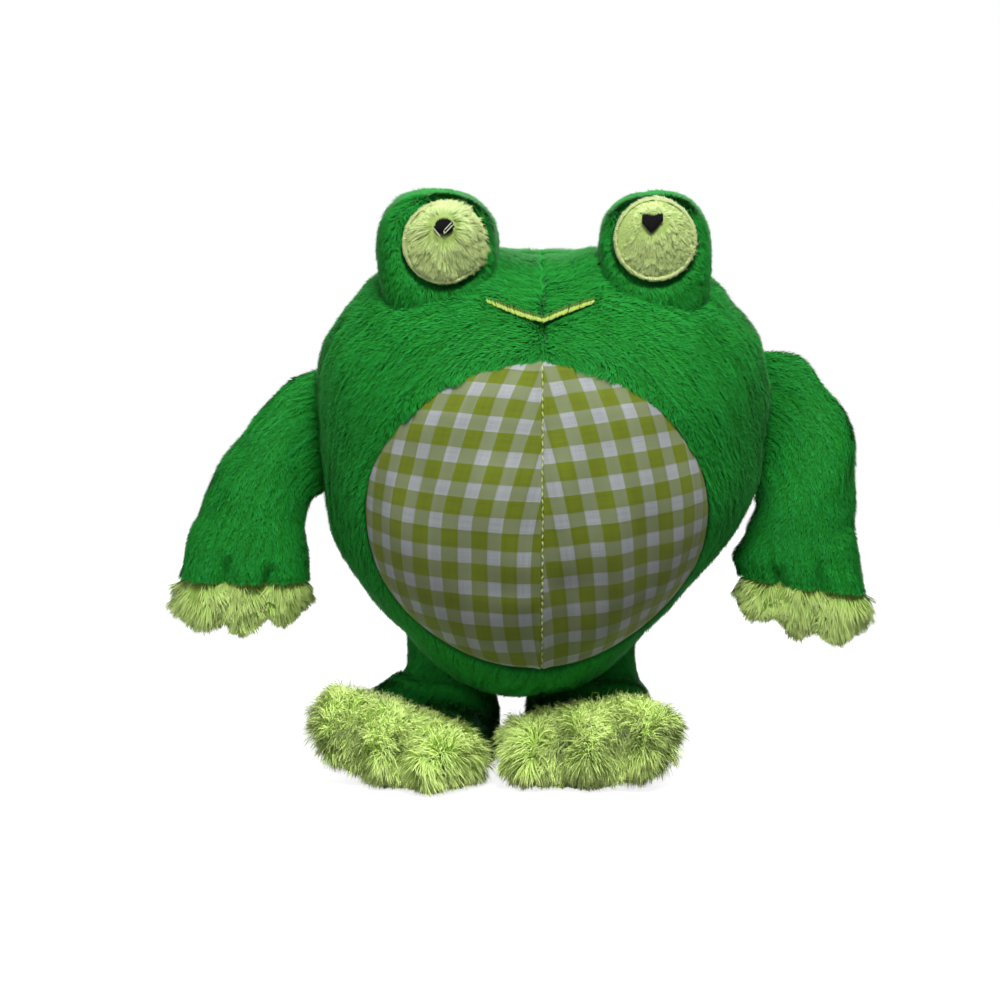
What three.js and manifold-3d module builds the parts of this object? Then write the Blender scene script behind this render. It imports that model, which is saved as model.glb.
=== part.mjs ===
// A small stuffed frog: a ball of a body, a checked cotton belly, bulging eyes, and long-pile hands and feet.
// Lengths are in millimetres. +Z is up, the frog faces -Y, and its own left side is +X.
// Every cloth piece is a shell of its own, sewn to the next along a narrow seam gap, with the stuffing inside.

import * as THREE from 'three';
import { mergeVertices } from 'three/addons/utils/BufferGeometryUtils.js';
import Module from 'manifold-3d';

const wasm = await Module();
wasm.setup();

// Cloth and clearances
const plushThickness = 2.2;
const cottonThickness = 1.2;
const furThickness = 3.2;
const seamGap = 0.3;
const fillingGap = 0.5;
const cutOverrun = 20;

// Body
const bodyWidth = 112;
const bodyDepth = 104;
const bodyHeight = 113;
const bodyClearance = 18.5;
const bodyTop = bodyClearance + bodyHeight;
const hipShift = 4;

// From the underside up to the crown: half width, half depth and height, as shares of the body's own
const bodyProfileShares = [
  [0, 0, 0],
  [0.26, 0.32, 0.03],
  [0.42, 0.52, 0.08],
  [0.565, 0.68, 0.149],
  [0.7, 0.79, 0.216],
  [0.83, 0.89, 0.305],
  [0.925, 0.96, 0.394],
  [0.985, 1, 0.5],
  [1, 0.99, 0.61],
  [0.995, 0.94, 0.71],
  [0.965, 0.85, 0.795],
  [0.915, 0.775, 0.842],
  [0.85, 0.67, 0.888],
  [0.73, 0.53, 0.937],
  [0.48, 0.33, 0.982],
  [0, 0, 1],
];

// Between these heights the hips' sideways shift fades out
const hipShiftLowShare = 0.2;
const hipShiftHighShare = 0.52;

// Checked belly panel, an oval seen from the front
const bellySideMargin = 14;
const bellyTopMargin = 23;
const bellyBottomMargin = 12;
const bellyShift = -1.2;
const bellyWidth = bodyWidth - 2 * bellySideMargin;
const bellyHeight = bodyHeight - bellyTopMargin - bellyBottomMargin;
const bellyCentreHeight = bodyClearance + bellyBottomMargin + bellyHeight / 2;
const bellyInset = 0.9;

// Embroidered smile
const mouthWidth = 26;
const mouthDrop = 4.2;
const mouthBelowTop = 11.2;
const mouthBand = 1.7;
const mouthRise = 1.4;
const mouthShift = 0.2;

// Eye bulges, one size for both, and what is sewn on each
const bulgeWidth = 30.5;
const bulgeHeight = 33;
const bulgeDepth = 32;
const bulgeRise = 16.2;
const bulgeTop = bodyTop + bulgeRise;
const bulgeForward = 12;
const bulgeSquarePower = 2.6;
const bulgeBluntPower = 4;
const eyePlushThickness = 1.5;
const eyeRadius = 9.2;
const eyeBorderWidth = 1.3;
const eyeBorderRise = 2.1;
const pupilRadius = 2.3;
const pupilRise = 1.1;
const pupilAboveEye = 4.2;
const leftBulgeOut = 27.6;
const leftEyeOut = 27.6;
const leftEyeBelowBulgeTop = 11;
const rightBulgeOut = 25.7;
const rightEyeOut = 24;
const rightEyeBelowBulgeTop = 11.8;
const eyes = [
  { name: 'left', x: leftBulgeOut, eyeX: leftEyeOut, eyeHeight: bulgeTop - leftEyeBelowBulgeTop },
  { name: 'right', x: -rightBulgeOut, eyeX: -rightEyeOut, eyeHeight: bulgeTop - rightEyeBelowBulgeTop },
];

// Arms: a flat sewn root that stands in the body's side seam, then a stuffed sleeve down to the cuff.
// They are cut clear of the body for a swing in degrees.
const armThickness = 17;
const armRootThickness = 2.6;
const armRootDepth = 4;
const shoulderSwing = { least: -45, most: 45, steps: 4 };
const handLength = 14;
const handOverhang = 1;
const handLobeDepth = 3.2;
const leftSeamBelowTop = 25.2;
const leftArmReach = 24;
const leftArmDrop = 60.5;
const rightSeamBelowTop = 30.3;
const rightArmReach = 33.2;
const rightArmDrop = 51.5;
// Half thickness from root to cuff, as shares of the arm's own
const armThicknessShares = [0, 0.4, 0.7, 0.92, 1, 1, 0.97, 0.93, 0.9];
// Edges from the seam to the cuff: outwards as shares of reach, downwards as shares of drop
const arms = [
  {
    name: 'left',
    side: 1,
    seamTop: bodyTop - leftSeamBelowTop,
    reach: leftArmReach,
    drop: leftArmDrop,
    outerShares: [
      [0, 0],
      [0.3, 0.04],
      [0.54, 0.14],
      [0.75, 0.25],
      [0.85, 0.37],
      [0.87, 0.53],
      [0.89, 0.7],
      [0.95, 0.87],
      [1, 1],
    ],
    innerShares: [
      [0, 0.6],
      [-0.19, 0.67],
      [-0.28, 0.74],
      [-0.35, 0.84],
      [-0.375, 0.92],
    ],
  },
  {
    name: 'right',
    side: -1,
    seamTop: bodyTop - rightSeamBelowTop,
    reach: rightArmReach,
    drop: rightArmDrop,
    outerShares: [
      [0, 0],
      [0.14, 0.035],
      [0.33, 0.13],
      [0.52, 0.28],
      [0.68, 0.43],
      [0.78, 0.58],
      [0.84, 0.7],
      [0.92, 0.82],
      [1, 1],
    ],
    innerShares: [
      [0, 0.58],
      [-0.01, 0.65],
      [0.035, 0.75],
      [0.01, 0.88],
      [-0.01, 1.01],
    ],
  },
];
// The hand's edges below the cuff: outwards as shares of its half width, downwards as shares of its length
const handEdgeShares = [
  [0.97, 0],
  [1.02, 0.14],
  [1.03, 0.42],
  [0.9, 0.76],
  [0.5, 0.97],
  [0, 1],
];
const handThicknessShares = [0.93, 1.05, 1.1, 1, 0.72, 0];
const handWidestShare = 1.03;

// Fingers and toes are parted between these shares of the way to their tips
const partingStartShare = 0.15;
const partingEndShare = 0.72;
const pawSquarePower = 2.3;

// Legs and feet: a short leg that turns into the instep, with a three-toed long-pile front
const legWidth = 22;
const legDepth = 18.5;
const legTuck = 17.5;
const legHeight = bodyClearance + legTuck;
const legBehind = 7;
const footReach = 21;
const footWidth = 42;
const footHeight = 19;
const heelReach = 13;
const soleFlat = 0.5;
const toeLength = 23;
const toeWidth = 47;
const toeHeight = 22.5;
const toeLobeDepth = 4.5;
const toeSeamHeight = 9.5;
// Side view of the leg's front: forwards from the leg to the toe seam, upwards from the foot to the leg's top
const instepShares = [
  [0, 1],
  [0, 0.53],
  [0.02, 0.18],
  [0.19, 0.04],
  [0.61, 0],
  [1, 0],
];
// Side view of the leg's back: forwards as shares of heel reach, upwards as shares of leg height
const heelShares = [
  [-0.71, 1],
  [-0.73, 0.66],
  [-0.88, 0.36],
  [-1, 0.14],
  [-0.86, -0.01],
];
// The sole starts this share of the foot's reach ahead of the leg
const soleStartShare = 0.4;
// The foot turns out between these shares of the way from the leg's top to the toe seam
const turnStartShare = 0.15;
const turnEndShare = 0.75;
// Half width from the leg's top to the toe seam: 0 is the leg's, 1 the foot's
const footWidthShares = [0, 0, 0.02, 0.1, 0.26, 0.5, 0.76, 1];
// Side view of the toes, as shares of toe length and toe height, and their half width
const toeTopShares = [
  [0, 0.9],
  [0.2, 0.99],
  [0.5, 0.97],
  [0.8, 0.79],
  [0.97, 0.56],
  [1, 0.47],
];
const toeSoleShares = [
  [0, 0],
  [0.25, 0],
  [0.55, 0.012],
  [0.83, 0.15],
  [0.97, 0.36],
  [1, 0.47],
];
const toeWidthShares = [0.93, 0.98, 1, 0.97, 0.87, 0.66, 0];
const leftLegOut = 13;
const leftTurnOutDegrees = -3;
const leftOuterLift = 1;
const rightLegOut = 23;
const rightTurnOutDegrees = 27;
const rightOuterLift = 4.5;
const legs = [
  { name: 'left', side: 1, x: leftLegOut, turnOut: leftTurnOutDegrees, outerLift: leftOuterLift },
  { name: 'right', side: -1, x: -rightLegOut, turnOut: rightTurnOutDegrees, outerLift: rightOuterLift },
];

// The hip's axis and the swing, in degrees, that the top of the leg is cut clear for
const hipInset = 1.5;
const hipHeight = bodyClearance + hipInset;
const hipSwing = { least: -6, most: 36, steps: 4 };

// How finely each form is drawn
const sides = { body: 24, bulge: 12, arm: 12, hand: 16, leg: 12, toe: 16, belly: 26, eye: 14, pupil: 8 };
const rings = { body: 13, bulge: 8, arm: 7, hand: 5, leg: 7, toe: 6 };

const X = new THREE.Vector3(1, 0, 0);
const Y = new THREE.Vector3(0, 1, 0);
const Z = new THREE.Vector3(0, 0, 1);
const smooth = (x, low, high) => THREE.MathUtils.smoothstep(x, low, high);
const radians = THREE.MathUtils.degToRad;

// Colours and finishes
const cloth = (color, roughness) => new THREE.MeshStandardMaterial({ color, roughness, metalness: 0 });
const greenPlush = cloth(0x1f8534, 0.95);
const limeFur = cloth(0xa9cc6b, 0.95);
const limePlush = cloth(0xb4cf7c, 0.95);
const checkedCotton = cloth(0x8f9a5c, 0.85);
const limeThread = cloth(0xa6cf55, 0.6);
const blackThread = cloth(0x15151a, 0.5);
const whiteStuffing = cloth(0xf0eee6, 1);

// Solids

function solidFrom(geometry) {
  const bare = geometry.clone();
  bare.deleteAttribute('normal');
  bare.deleteAttribute('uv');
  const merged = mergeVertices(bare);
  const mesh = new wasm.Mesh({
    numProp: 3,
    vertProperties: merged.attributes.position.array,
    triVerts: new Uint32Array(merged.index.array),
  });
  return new wasm.Manifold(mesh);
}

function meshFrom(name, solid, material) {
  const { vertProperties, triVerts } = solid.getMesh();
  const geometry = new THREE.BufferGeometry();
  geometry.setAttribute('position', new THREE.BufferAttribute(vertProperties, 3));
  geometry.setIndex(new THREE.BufferAttribute(triVerts, 1));
  geometry.computeVertexNormals();
  const mesh = new THREE.Mesh(geometry, material);
  mesh.name = name;
  return mesh;
}

// A closed surface gathered from quads, with its faces turned outwards
class Surface {
  triangles = [];

  triangle(a, b, c) {
    const collapsed = a.equals(b) || b.equals(c) || c.equals(a);
    if (!collapsed) this.triangles.push([a, b, c]);
  }

  // Both faces of a shell part their quads alike, so the cloth keeps its thickness
  quad(a, b, c, d, turned) {
    if (turned) {
      this.triangle(a, c, b);
      this.triangle(a, d, c);
    } else {
      this.triangle(a, b, c);
      this.triangle(a, c, d);
    }
  }

  strip(low, high, { closed = false, turned = false } = {}) {
    const count = closed ? low.length : low.length - 1;
    for (let i = 0; i < count; i++) {
      const next = (i + 1) % low.length;
      this.quad(low[i], low[next], high[next], high[i], turned);
    }
  }

  fan(row, turned) {
    const centre = row.reduce((sum, p) => sum.add(p), new THREE.Vector3()).divideScalar(row.length);
    if (row.every((p) => p.equals(row[0]))) return;
    row.forEach((p, i) => {
      const next = row[(i + 1) % row.length];
      if (turned) this.triangle(next, p, centre);
      else this.triangle(p, next, centre);
    });
  }

  solid() {
    const volume = this.triangles.reduce((sum, [a, b, c]) => sum + a.dot(b.clone().cross(c)), 0);
    const outward = volume > 0 ? this.triangles : this.triangles.map(([a, b, c]) => [a, c, b]);
    const geometry = new THREE.BufferGeometry().setFromPoints(outward.flat());
    return solidFrom(geometry);
  }
}

// Forms. A form gives, for a share t of its length and a depth below its surface, one cross-section:
// its centre, the two directions across it, and its half sizes along them.

function sectionPoint(section, angle, half) {
  const power = 2 / (section.squareness ?? 2);
  const across = Math.sign(Math.cos(angle)) * Math.abs(Math.cos(angle)) ** power;
  let through = Math.sign(Math.sin(angle)) * Math.abs(Math.sin(angle)) ** power * section.halfThickness;
  if (half > 0) through = Math.max(through, seamGap / 2);
  if (half < 0) through = Math.min(through, -seamGap / 2);
  const point = section.centre
    .clone()
    .addScaledVector(section.across, across * section.halfWidth)
    .addScaledVector(section.through, through);
  return section.shape ? section.shape(point, across) : point;
}

function rowsOf(form, { depth = 0, first = 0, ringCount, sideCount, half = 0 }) {
  const start = half < 0 ? Math.PI : 0;
  const sweep = half ? Math.PI : 2 * Math.PI;
  const columns = half ? sideCount / 2 + 1 : sideCount;
  const rows = [];
  for (let i = first; i < ringCount; i++) {
    const t = i / (ringCount - 1);
    const section = form(t, depth);
    rows.push(
      Array.from({ length: columns }, (_, j) => {
        const angle = start + (sweep * j) / sideCount / (half ? 0.5 : 1);
        return sectionPoint(section, angle, half);
      }),
    );
  }
  return rows;
}

// A whole form, closed at both ends
function blob(form, options) {
  const rows = rowsOf(form, options);
  const surface = new Surface();
  for (let i = 1; i < rows.length; i++) surface.strip(rows[i - 1], rows[i], { closed: true });
  surface.fan(rows[0], true);
  surface.fan(rows.at(-1), false);
  return surface.solid();
}

// Stuffing is out of sight, so it is drawn with half the sides
const filling = (form, options) => blob(form, { ...options, sideCount: options.sideCount / 2 });

// A shell of the given thickness: all round the form, or only its upper (half 1) or lower (half -1) side
function shell(form, thickness, options) {
  const depth = options.depth ?? 0;
  const closed = !options.half;
  const outer = rowsOf(form, options);
  const inner = rowsOf(form, { ...options, depth: depth + thickness });
  const surface = new Surface();
  for (let i = 1; i < outer.length; i++) {
    surface.strip(outer[i - 1], outer[i], { closed });
    surface.strip(inner[i - 1], inner[i], { closed, turned: true });
  }
  surface.strip(inner[0], outer[0], { closed });
  surface.strip(outer.at(-1), inner.at(-1), { closed });
  if (!closed) {
    const column = (rows, at) => rows.map((row) => row.at(at));
    surface.strip(column(outer, 0), column(inner, 0));
    surface.strip(column(inner, -1), column(outer, -1));
  }
  return surface.solid();
}

// What lies between two depths of a closed form
const layer = (form, outerDepth, innerDepth, options) =>
  blob(form, { ...options, depth: outerDepth }).subtract(blob(form, { ...options, depth: innerDepth }));

const curveThrough = (points) => new THREE.CatmullRomCurve3(points, false, 'centripetal');

// A share that follows a list of shares evenly spread from 0 to 1
function shareAt(shares, t) {
  const place = THREE.MathUtils.clamp(t, 0, 1) * (shares.length - 1);
  const i = Math.min(Math.floor(place), shares.length - 2);
  return THREE.MathUtils.lerp(shares[i], shares[i + 1], place - i);
}

// Cutters

function box(low, high) {
  const size = high.clone().sub(low);
  const centre = high.clone().add(low).multiplyScalar(0.5);
  return solidFrom(new THREE.BoxGeometry(size.x, size.y, size.z).translate(centre.x, centre.y, centre.z));
}

// An oval prism that runs forwards from a plane this far in front of the middle
function frontOval({ x, height, halfWidth, halfHeight, sideCount, ahead = 0 }) {
  const length = bodyDepth / 2 + cutOverrun - ahead;
  const prism = new THREE.CylinderGeometry(1, 1, 1, sideCount);
  return solidFrom(prism.scale(halfWidth, length, halfHeight).translate(x, -ahead - length / 2, height));
}

const sideRoom = bodyWidth / 2 + cutOverrun;
const depthRoom = bodyDepth / 2 + cutOverrun;
const topRoom = bulgeTop + cutOverrun;

// One quarter of the space round the body, kept half a seam gap off both middle planes
function quarter(side, end) {
  const from = (sign, room) => (sign > 0 ? seamGap / 2 : -room);
  const to = (sign, room) => (sign > 0 ? room : -seamGap / 2);
  const low = new THREE.Vector3(from(side, sideRoom), from(end, depthRoom), -cutOverrun);
  const high = new THREE.Vector3(to(side, sideRoom), to(end, depthRoom), topRoom);
  return box(low, high);
}

// Body

const bodyCurve = curveThrough(bodyProfileShares.map((shares) => new THREE.Vector3(...shares)));
const bodyDrawn = { ringCount: rings.body, sideCount: sides.body };

function bodyForm(t, depth) {
  const shares = bodyCurve.getPointAt(t);
  const shift = -hipShift * (1 - smooth(shares.z, hipShiftLowShare, hipShiftHighShare));
  const height = bodyClearance + bodyHeight / 2 + (bodyHeight - 2 * depth) * (shares.z - 0.5);
  const onAxis = t === 0 || t === 1;
  return {
    centre: new THREE.Vector3(shift, 0, height),
    across: X,
    through: Y,
    halfWidth: onAxis ? 0 : (bodyWidth / 2 - depth) * shares.x,
    halfThickness: onAxis ? 0 : (bodyDepth / 2 - depth) * shares.y,
  };
}

const bodyRoom = blob(bodyForm, { ...bodyDrawn, depth: -seamGap });

// The space that the body takes, seen from a limb that swings about an axis through a point
function swungBody(axis, point, swing) {
  let swept = bodyRoom;
  for (let i = 0; i <= swing.steps; i++) {
    const angle = radians(THREE.MathUtils.lerp(swing.least, swing.most, i / swing.steps));
    const turn = new THREE.Matrix4()
      .makeTranslation(point)
      .multiply(new THREE.Matrix4().makeRotationAxis(axis, -angle))
      .multiply(new THREE.Matrix4().makeTranslation(point.clone().negate()));
    swept = swept.add(bodyRoom.transform(turn.elements));
  }
  return swept;
}

// The smile seen from the front, a shallow V with bowed arms
function smilePrism() {
  const corner = new THREE.Vector2(mouthWidth / 2, mouthDrop);
  const bow = new THREE.Vector2(mouthWidth / 5, mouthDrop / 3);
  const shape = new THREE.Shape();
  shape.moveTo(-corner.x, corner.y);
  shape.quadraticCurveTo(-bow.x, bow.y, 0, 0);
  shape.quadraticCurveTo(bow.x, bow.y, corner.x, corner.y);
  shape.lineTo(corner.x, corner.y + mouthBand);
  shape.quadraticCurveTo(bow.x, bow.y + mouthBand, 0, mouthBand);
  shape.quadraticCurveTo(-bow.x, bow.y + mouthBand, -corner.x, corner.y + mouthBand);
  const prism = new THREE.ExtrudeGeometry(shape, { depth: depthRoom, bevelEnabled: false, curveSegments: 5 });
  return solidFrom(prism.rotateX(Math.PI / 2).translate(mouthShift, 0, bodyTop - mouthBelowTop - mouthDrop));
}

function bodyParts() {
  const parts = [];
  const oval = (grown) =>
    frontOval({
      x: bellyShift,
      height: bellyCentreHeight,
      halfWidth: bellyWidth / 2 + grown,
      halfHeight: bellyHeight / 2 + grown,
      sideCount: sides.belly,
    });
  const skin = layer(bodyForm, 0, plushThickness, bodyDrawn);
  const belly = layer(bodyForm, bellyInset, bellyInset + cottonThickness, bodyDrawn).intersect(oval(0));
  for (const [name, side] of [['left', 1], ['right', -1]]) {
    const front = quarter(side, -1);
    parts.push(meshFrom(`front_${name}_panel`, skin.intersect(front).subtract(oval(seamGap)), greenPlush));
    parts.push(meshFrom(`back_${name}_panel`, skin.intersect(quarter(side, 1)), greenPlush));
    parts.push(meshFrom(`belly_${name}_panel`, belly.intersect(front), checkedCotton));
  }
  const stuffing = filling(bodyForm, { ...bodyDrawn, depth: plushThickness + fillingGap });
  parts.push(meshFrom('body_stuffing', stuffing, whiteStuffing));
  const thread = layer(bodyForm, -mouthRise, -seamGap, bodyDrawn);
  parts.push(meshFrom('mouth_stitching', thread.intersect(smilePrism()), limeThread));
  return parts;
}

// Eyes

function bulgeForm(eye) {
  const centre = new THREE.Vector3(eye.x, -bulgeForward, bulgeTop - bulgeHeight / 2);
  return (t, depth) => {
    const turn = Math.PI * t;
    const reach = Math.abs(Math.cos(turn)) ** (2 / bulgeBluntPower) * Math.sign(Math.cos(turn));
    const swell = t === 0 || t === 1 ? 0 : Math.sin(turn) ** (2 / bulgeBluntPower);
    return {
      centre: centre.clone().addScaledVector(Y, -reach * (bulgeDepth / 2 - depth)),
      across: X,
      through: Z,
      squareness: bulgeSquarePower,
      halfWidth: (bulgeWidth / 2 - depth) * swell,
      halfThickness: (bulgeHeight / 2 - depth) * swell,
    };
  };
}

function eyeParts(eye) {
  const form = bulgeForm(eye);
  const drawn = { ringCount: rings.bulge, sideCount: sides.bulge };
  const round = (radius, sideCount, height = eye.eyeHeight) =>
    frontOval({ x: eye.eyeX, height, halfWidth: radius, halfHeight: radius, sideCount, ahead: bulgeForward });
  const clearOfBody = (solid) => solid.subtract(bodyRoom);

  const cover = clearOfBody(layer(form, 0, plushThickness, drawn));
  const stuffing = clearOfBody(filling(form, { ...drawn, depth: plushThickness + fillingGap }));

  const eyeTop = seamGap + eyePlushThickness;
  const disc = layer(form, -eyeTop, -seamGap, drawn).intersect(round(eyeRadius, sides.eye));
  const border = layer(form, -eyeBorderRise - seamGap, -seamGap, drawn)
    .intersect(round(eyeRadius + seamGap + eyeBorderWidth, sides.eye))
    .subtract(round(eyeRadius + seamGap, sides.eye));
  const pupilHeight = eye.eyeHeight + pupilAboveEye;
  const pupil = layer(form, -eyeTop - seamGap - pupilRise, -eyeTop - seamGap, drawn)
    .intersect(round(pupilRadius, sides.pupil, pupilHeight));

  return [
    meshFrom(`${eye.name}_eye_bulge`, cover, greenPlush),
    meshFrom(`${eye.name}_eye_stuffing`, stuffing, whiteStuffing),
    meshFrom(`${eye.name}_eye_disc`, disc, limePlush),
    meshFrom(`${eye.name}_eye_border`, border, limeThread),
    meshFrom(`${eye.name}_pupil`, pupil, blackThread),
  ];
}

// Arms

const shoulderReach = bodyWidth / 2 + seamGap + armRootThickness / 2;

function armForm(arm) {
  const edge = (shares) =>
    curveThrough(
      shares.map(([out, down], i) => {
        const root = i === 0 ? armRootDepth : 0;
        const x = arm.side * (shoulderReach + arm.reach * out - root);
        return new THREE.Vector3(x, 0, arm.seamTop - arm.drop * down);
      }),
    );
  const outer = edge(arm.outerShares);
  const inner = edge(arm.innerShares);
  return (t, depth) => {
    const out = outer.getPointAt(t);
    const into = inner.getPointAt(t);
    const half = out.clone().sub(into).multiplyScalar(0.5);
    const thickness = THREE.MathUtils.lerp(armRootThickness, armThickness, shareAt(armThicknessShares, t));
    return {
      centre: out.clone().add(into).multiplyScalar(0.5),
      across: half.clone().normalize(),
      through: Y,
      halfWidth: half.length() - depth,
      halfThickness: Math.max(thickness / 2 - depth, 0),
    };
  };
}

// Three rounded toes or fingers across a width: 1 at the middle of each, 0 between them
const lobes = (across) => Math.abs(Math.cos(1.5 * Math.PI * across));

function handForm(arm, start = seamGap) {
  const cuff = armForm(arm)(1, 0);
  const down = new THREE.Vector3(cuff.across.z, 0, -cuff.across.x).multiplyScalar(arm.side);
  const top = cuff.centre.clone().addScaledVector(down, start);
  const halfWidth = cuff.halfWidth + handOverhang;
  const edge = curveThrough(handEdgeShares.map(([out, along]) => new THREE.Vector3(out, along, 0)));
  return (t, depth) => {
    const shares = edge.getPointAt(t);
    const swell = shareAt(handThicknessShares, t);
    const tip = t === 1;
    const notch = handLobeDepth * smooth(t, partingStartShare, partingEndShare);
    return {
      centre: top.clone().addScaledVector(down, (handLength - depth) * shares.y),
      across: cuff.across,
      through: Y,
      squareness: pawSquarePower,
      halfWidth: tip ? 0 : (halfWidth - depth) * shares.x,
      halfThickness: tip ? 0 : (armThickness / 2 - depth) * swell,
      shape: (point, across) => {
        const place = (across * shares.x) / handWidestShare;
        return point.addScaledVector(down, -notch * (1 - lobes(place)));
      },
    };
  };
}

function armParts(arm) {
  const form = armForm(arm);
  const drawn = { ringCount: rings.arm, sideCount: sides.arm };
  const handDrawn = { ringCount: rings.hand, sideCount: sides.hand };
  const shoulder = new THREE.Vector3(arm.side * shoulderReach, 0, 0);
  const swept = swungBody(Z, shoulder, shoulderSwing);
  const half = (end) => shell(form, plushThickness, { ...drawn, half: end }).subtract(swept);
  // The stuffing starts where the sleeve is thick enough to hold it, and runs on into the hand
  const sleeve = filling(form, { ...drawn, depth: plushThickness + fillingGap, first: 3 });
  const palm = blob(handForm(arm, -seamGap), { ...handDrawn, depth: furThickness + fillingGap });
  return [
    meshFrom(`${arm.name}_arm_front`, half(-1), greenPlush),
    meshFrom(`${arm.name}_arm_back`, half(1), greenPlush),
    meshFrom(`${arm.name}_arm_stuffing`, sleeve.add(palm).subtract(swept), whiteStuffing),
    meshFrom(`${arm.name}_hand_fur`, shell(handForm(arm), furThickness, handDrawn), limeFur),
  ];
}

// Legs

function turned(leg, point, weight) {
  const hip = new THREE.Vector3(leg.x, legBehind, 0);
  const angle = leg.side * radians(leg.turnOut) * weight;
  return point.applyAxisAngle(Z, angle).add(hip);
}

function legForm(leg) {
  const legFront = legDepth / 2;
  const instep = curveThrough(
    instepShares.map(([out, up]) => {
      const forward = THREE.MathUtils.lerp(legFront, footReach, out);
      return new THREE.Vector3(0, -forward, THREE.MathUtils.lerp(footHeight, legHeight, up));
    }),
  );
  const heel = curveThrough([
    ...heelShares.map(([out, up]) => new THREE.Vector3(0, -heelReach * out, legHeight * up)),
    new THREE.Vector3(0, -footReach * soleStartShare, -soleFlat),
    new THREE.Vector3(0, -footReach, -soleFlat),
  ]);
  return (t, depth) => {
    const front = instep.getPointAt(t);
    const back = heel.getPointAt(t);
    const half = front.clone().sub(back).multiplyScalar(0.5);
    const weight = smooth(t, turnStartShare, turnEndShare);
    const width = THREE.MathUtils.lerp(legWidth, footWidth, shareAt(footWidthShares, t));
    const across = X.clone().multiplyScalar(leg.side);
    return {
      centre: front.clone().add(back).multiplyScalar(0.5),
      across,
      through: half.clone().normalize(),
      squareness: pawSquarePower,
      halfWidth: width / 2 - depth,
      halfThickness: half.length() - depth,
      shape: (point, acrossShare) => {
        const lift = leg.outerLift * weight * Math.max(acrossShare, 0);
        return turned(leg, point.addScaledVector(Z, lift), weight);
      },
    };
  };
}

function toeForm(leg, start = seamGap) {
  const edge = (shares, bottom) =>
    curveThrough(
      shares.map(([out, up]) => {
        const forward = footReach + start + toeLength * out;
        return new THREE.Vector3(0, -forward, toeHeight * up + bottom);
      }),
    );
  const top = edge(toeTopShares, -soleFlat);
  const sole = edge(toeSoleShares, -soleFlat);
  return (t, depth) => {
    const high = top.getPointAt(t);
    const low = sole.getPointAt(t);
    const half = high.clone().sub(low).multiplyScalar(0.5);
    const tip = t === 1;
    const widthShare = shareAt(toeWidthShares, t);
    const notch = toeLobeDepth * smooth(t, partingStartShare, partingEndShare);
    return {
      centre: high.clone().add(low).multiplyScalar(0.5).addScaledVector(Y, depth * t),
      across: X.clone().multiplyScalar(leg.side),
      through: tip ? Z : half.clone().normalize(),
      squareness: pawSquarePower,
      halfWidth: tip ? 0 : (toeWidth / 2) * widthShare - depth,
      halfThickness: tip ? 0 : half.length() - depth,
      shape: (point, acrossShare) => {
        const place = acrossShare * widthShare;
        point.addScaledVector(Y, notch * (1 - lobes(place)));
        point.addScaledVector(Z, leg.outerLift * Math.max(place, 0));
        return turned(leg, point, 1);
      },
    };
  };
}

// The space between two heights
const levels = (low, high) =>
  box(new THREE.Vector3(-sideRoom, -depthRoom, low), new THREE.Vector3(sideRoom, depthRoom, high));

const aboveFloor = levels(0, topRoom);
const aboveToeSeam = levels(toeSeamHeight + seamGap / 2, topRoom);
const belowToeSeam = levels(0, toeSeamHeight - seamGap / 2);

const hip = new THREE.Vector3(0, legBehind, hipHeight);
const bodyOverLegs = swungBody(X, hip, hipSwing);

function legParts(leg) {
  const form = legForm(leg);
  const toes = toeForm(leg);
  const drawn = { ringCount: rings.leg, sideCount: sides.leg };
  const toesDrawn = { ringCount: rings.toe, sideCount: sides.toe };
  const trimmed = (solid) => solid.subtract(bodyOverLegs).intersect(aboveFloor);
  const plush = (half) => trimmed(shell(form, plushThickness, { ...drawn, half }));
  const fur = trimmed(shell(toes, furThickness, toesDrawn));
  // The stuffing runs on into the toes
  const shin = filling(form, { ...drawn, depth: plushThickness + fillingGap });
  const ball = blob(toeForm(leg, -seamGap), { ...toesDrawn, depth: furThickness + fillingGap });
  return [
    meshFrom(`${leg.name}_leg_front`, plush(1), greenPlush),
    meshFrom(`${leg.name}_leg_back`, plush(-1), greenPlush),
    meshFrom(`${leg.name}_leg_stuffing`, trimmed(shin.add(ball)), whiteStuffing),
    meshFrom(`${leg.name}_toe_top_fur`, fur.intersect(aboveToeSeam), limeFur),
    meshFrom(`${leg.name}_toe_sole_fur`, fur.intersect(belowToeSeam), limeFur),
  ];
}

// The frog, moved so that its origin is on the floor under the middle of its outline

const frog = new THREE.Group();
frog.add(...bodyParts());
for (const eye of eyes) frog.add(...eyeParts(eye));
for (const arm of arms) frog.add(...armParts(arm));
for (const leg of legs) frog.add(...legParts(leg));
const outline = new THREE.Box3().setFromObject(frog);
const middle = outline.getCenter(new THREE.Vector3());
frog.position.set(-middle.x, -middle.y, 0);

export default frog;
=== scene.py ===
# A small stuffed frog in short green plush, with long lime pile on its hands and feet, dressed over its solids.
# Shapes are worked out in millimetres in the frog's own place, and become metres in the row frame in build().
import math
import zlib

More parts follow.
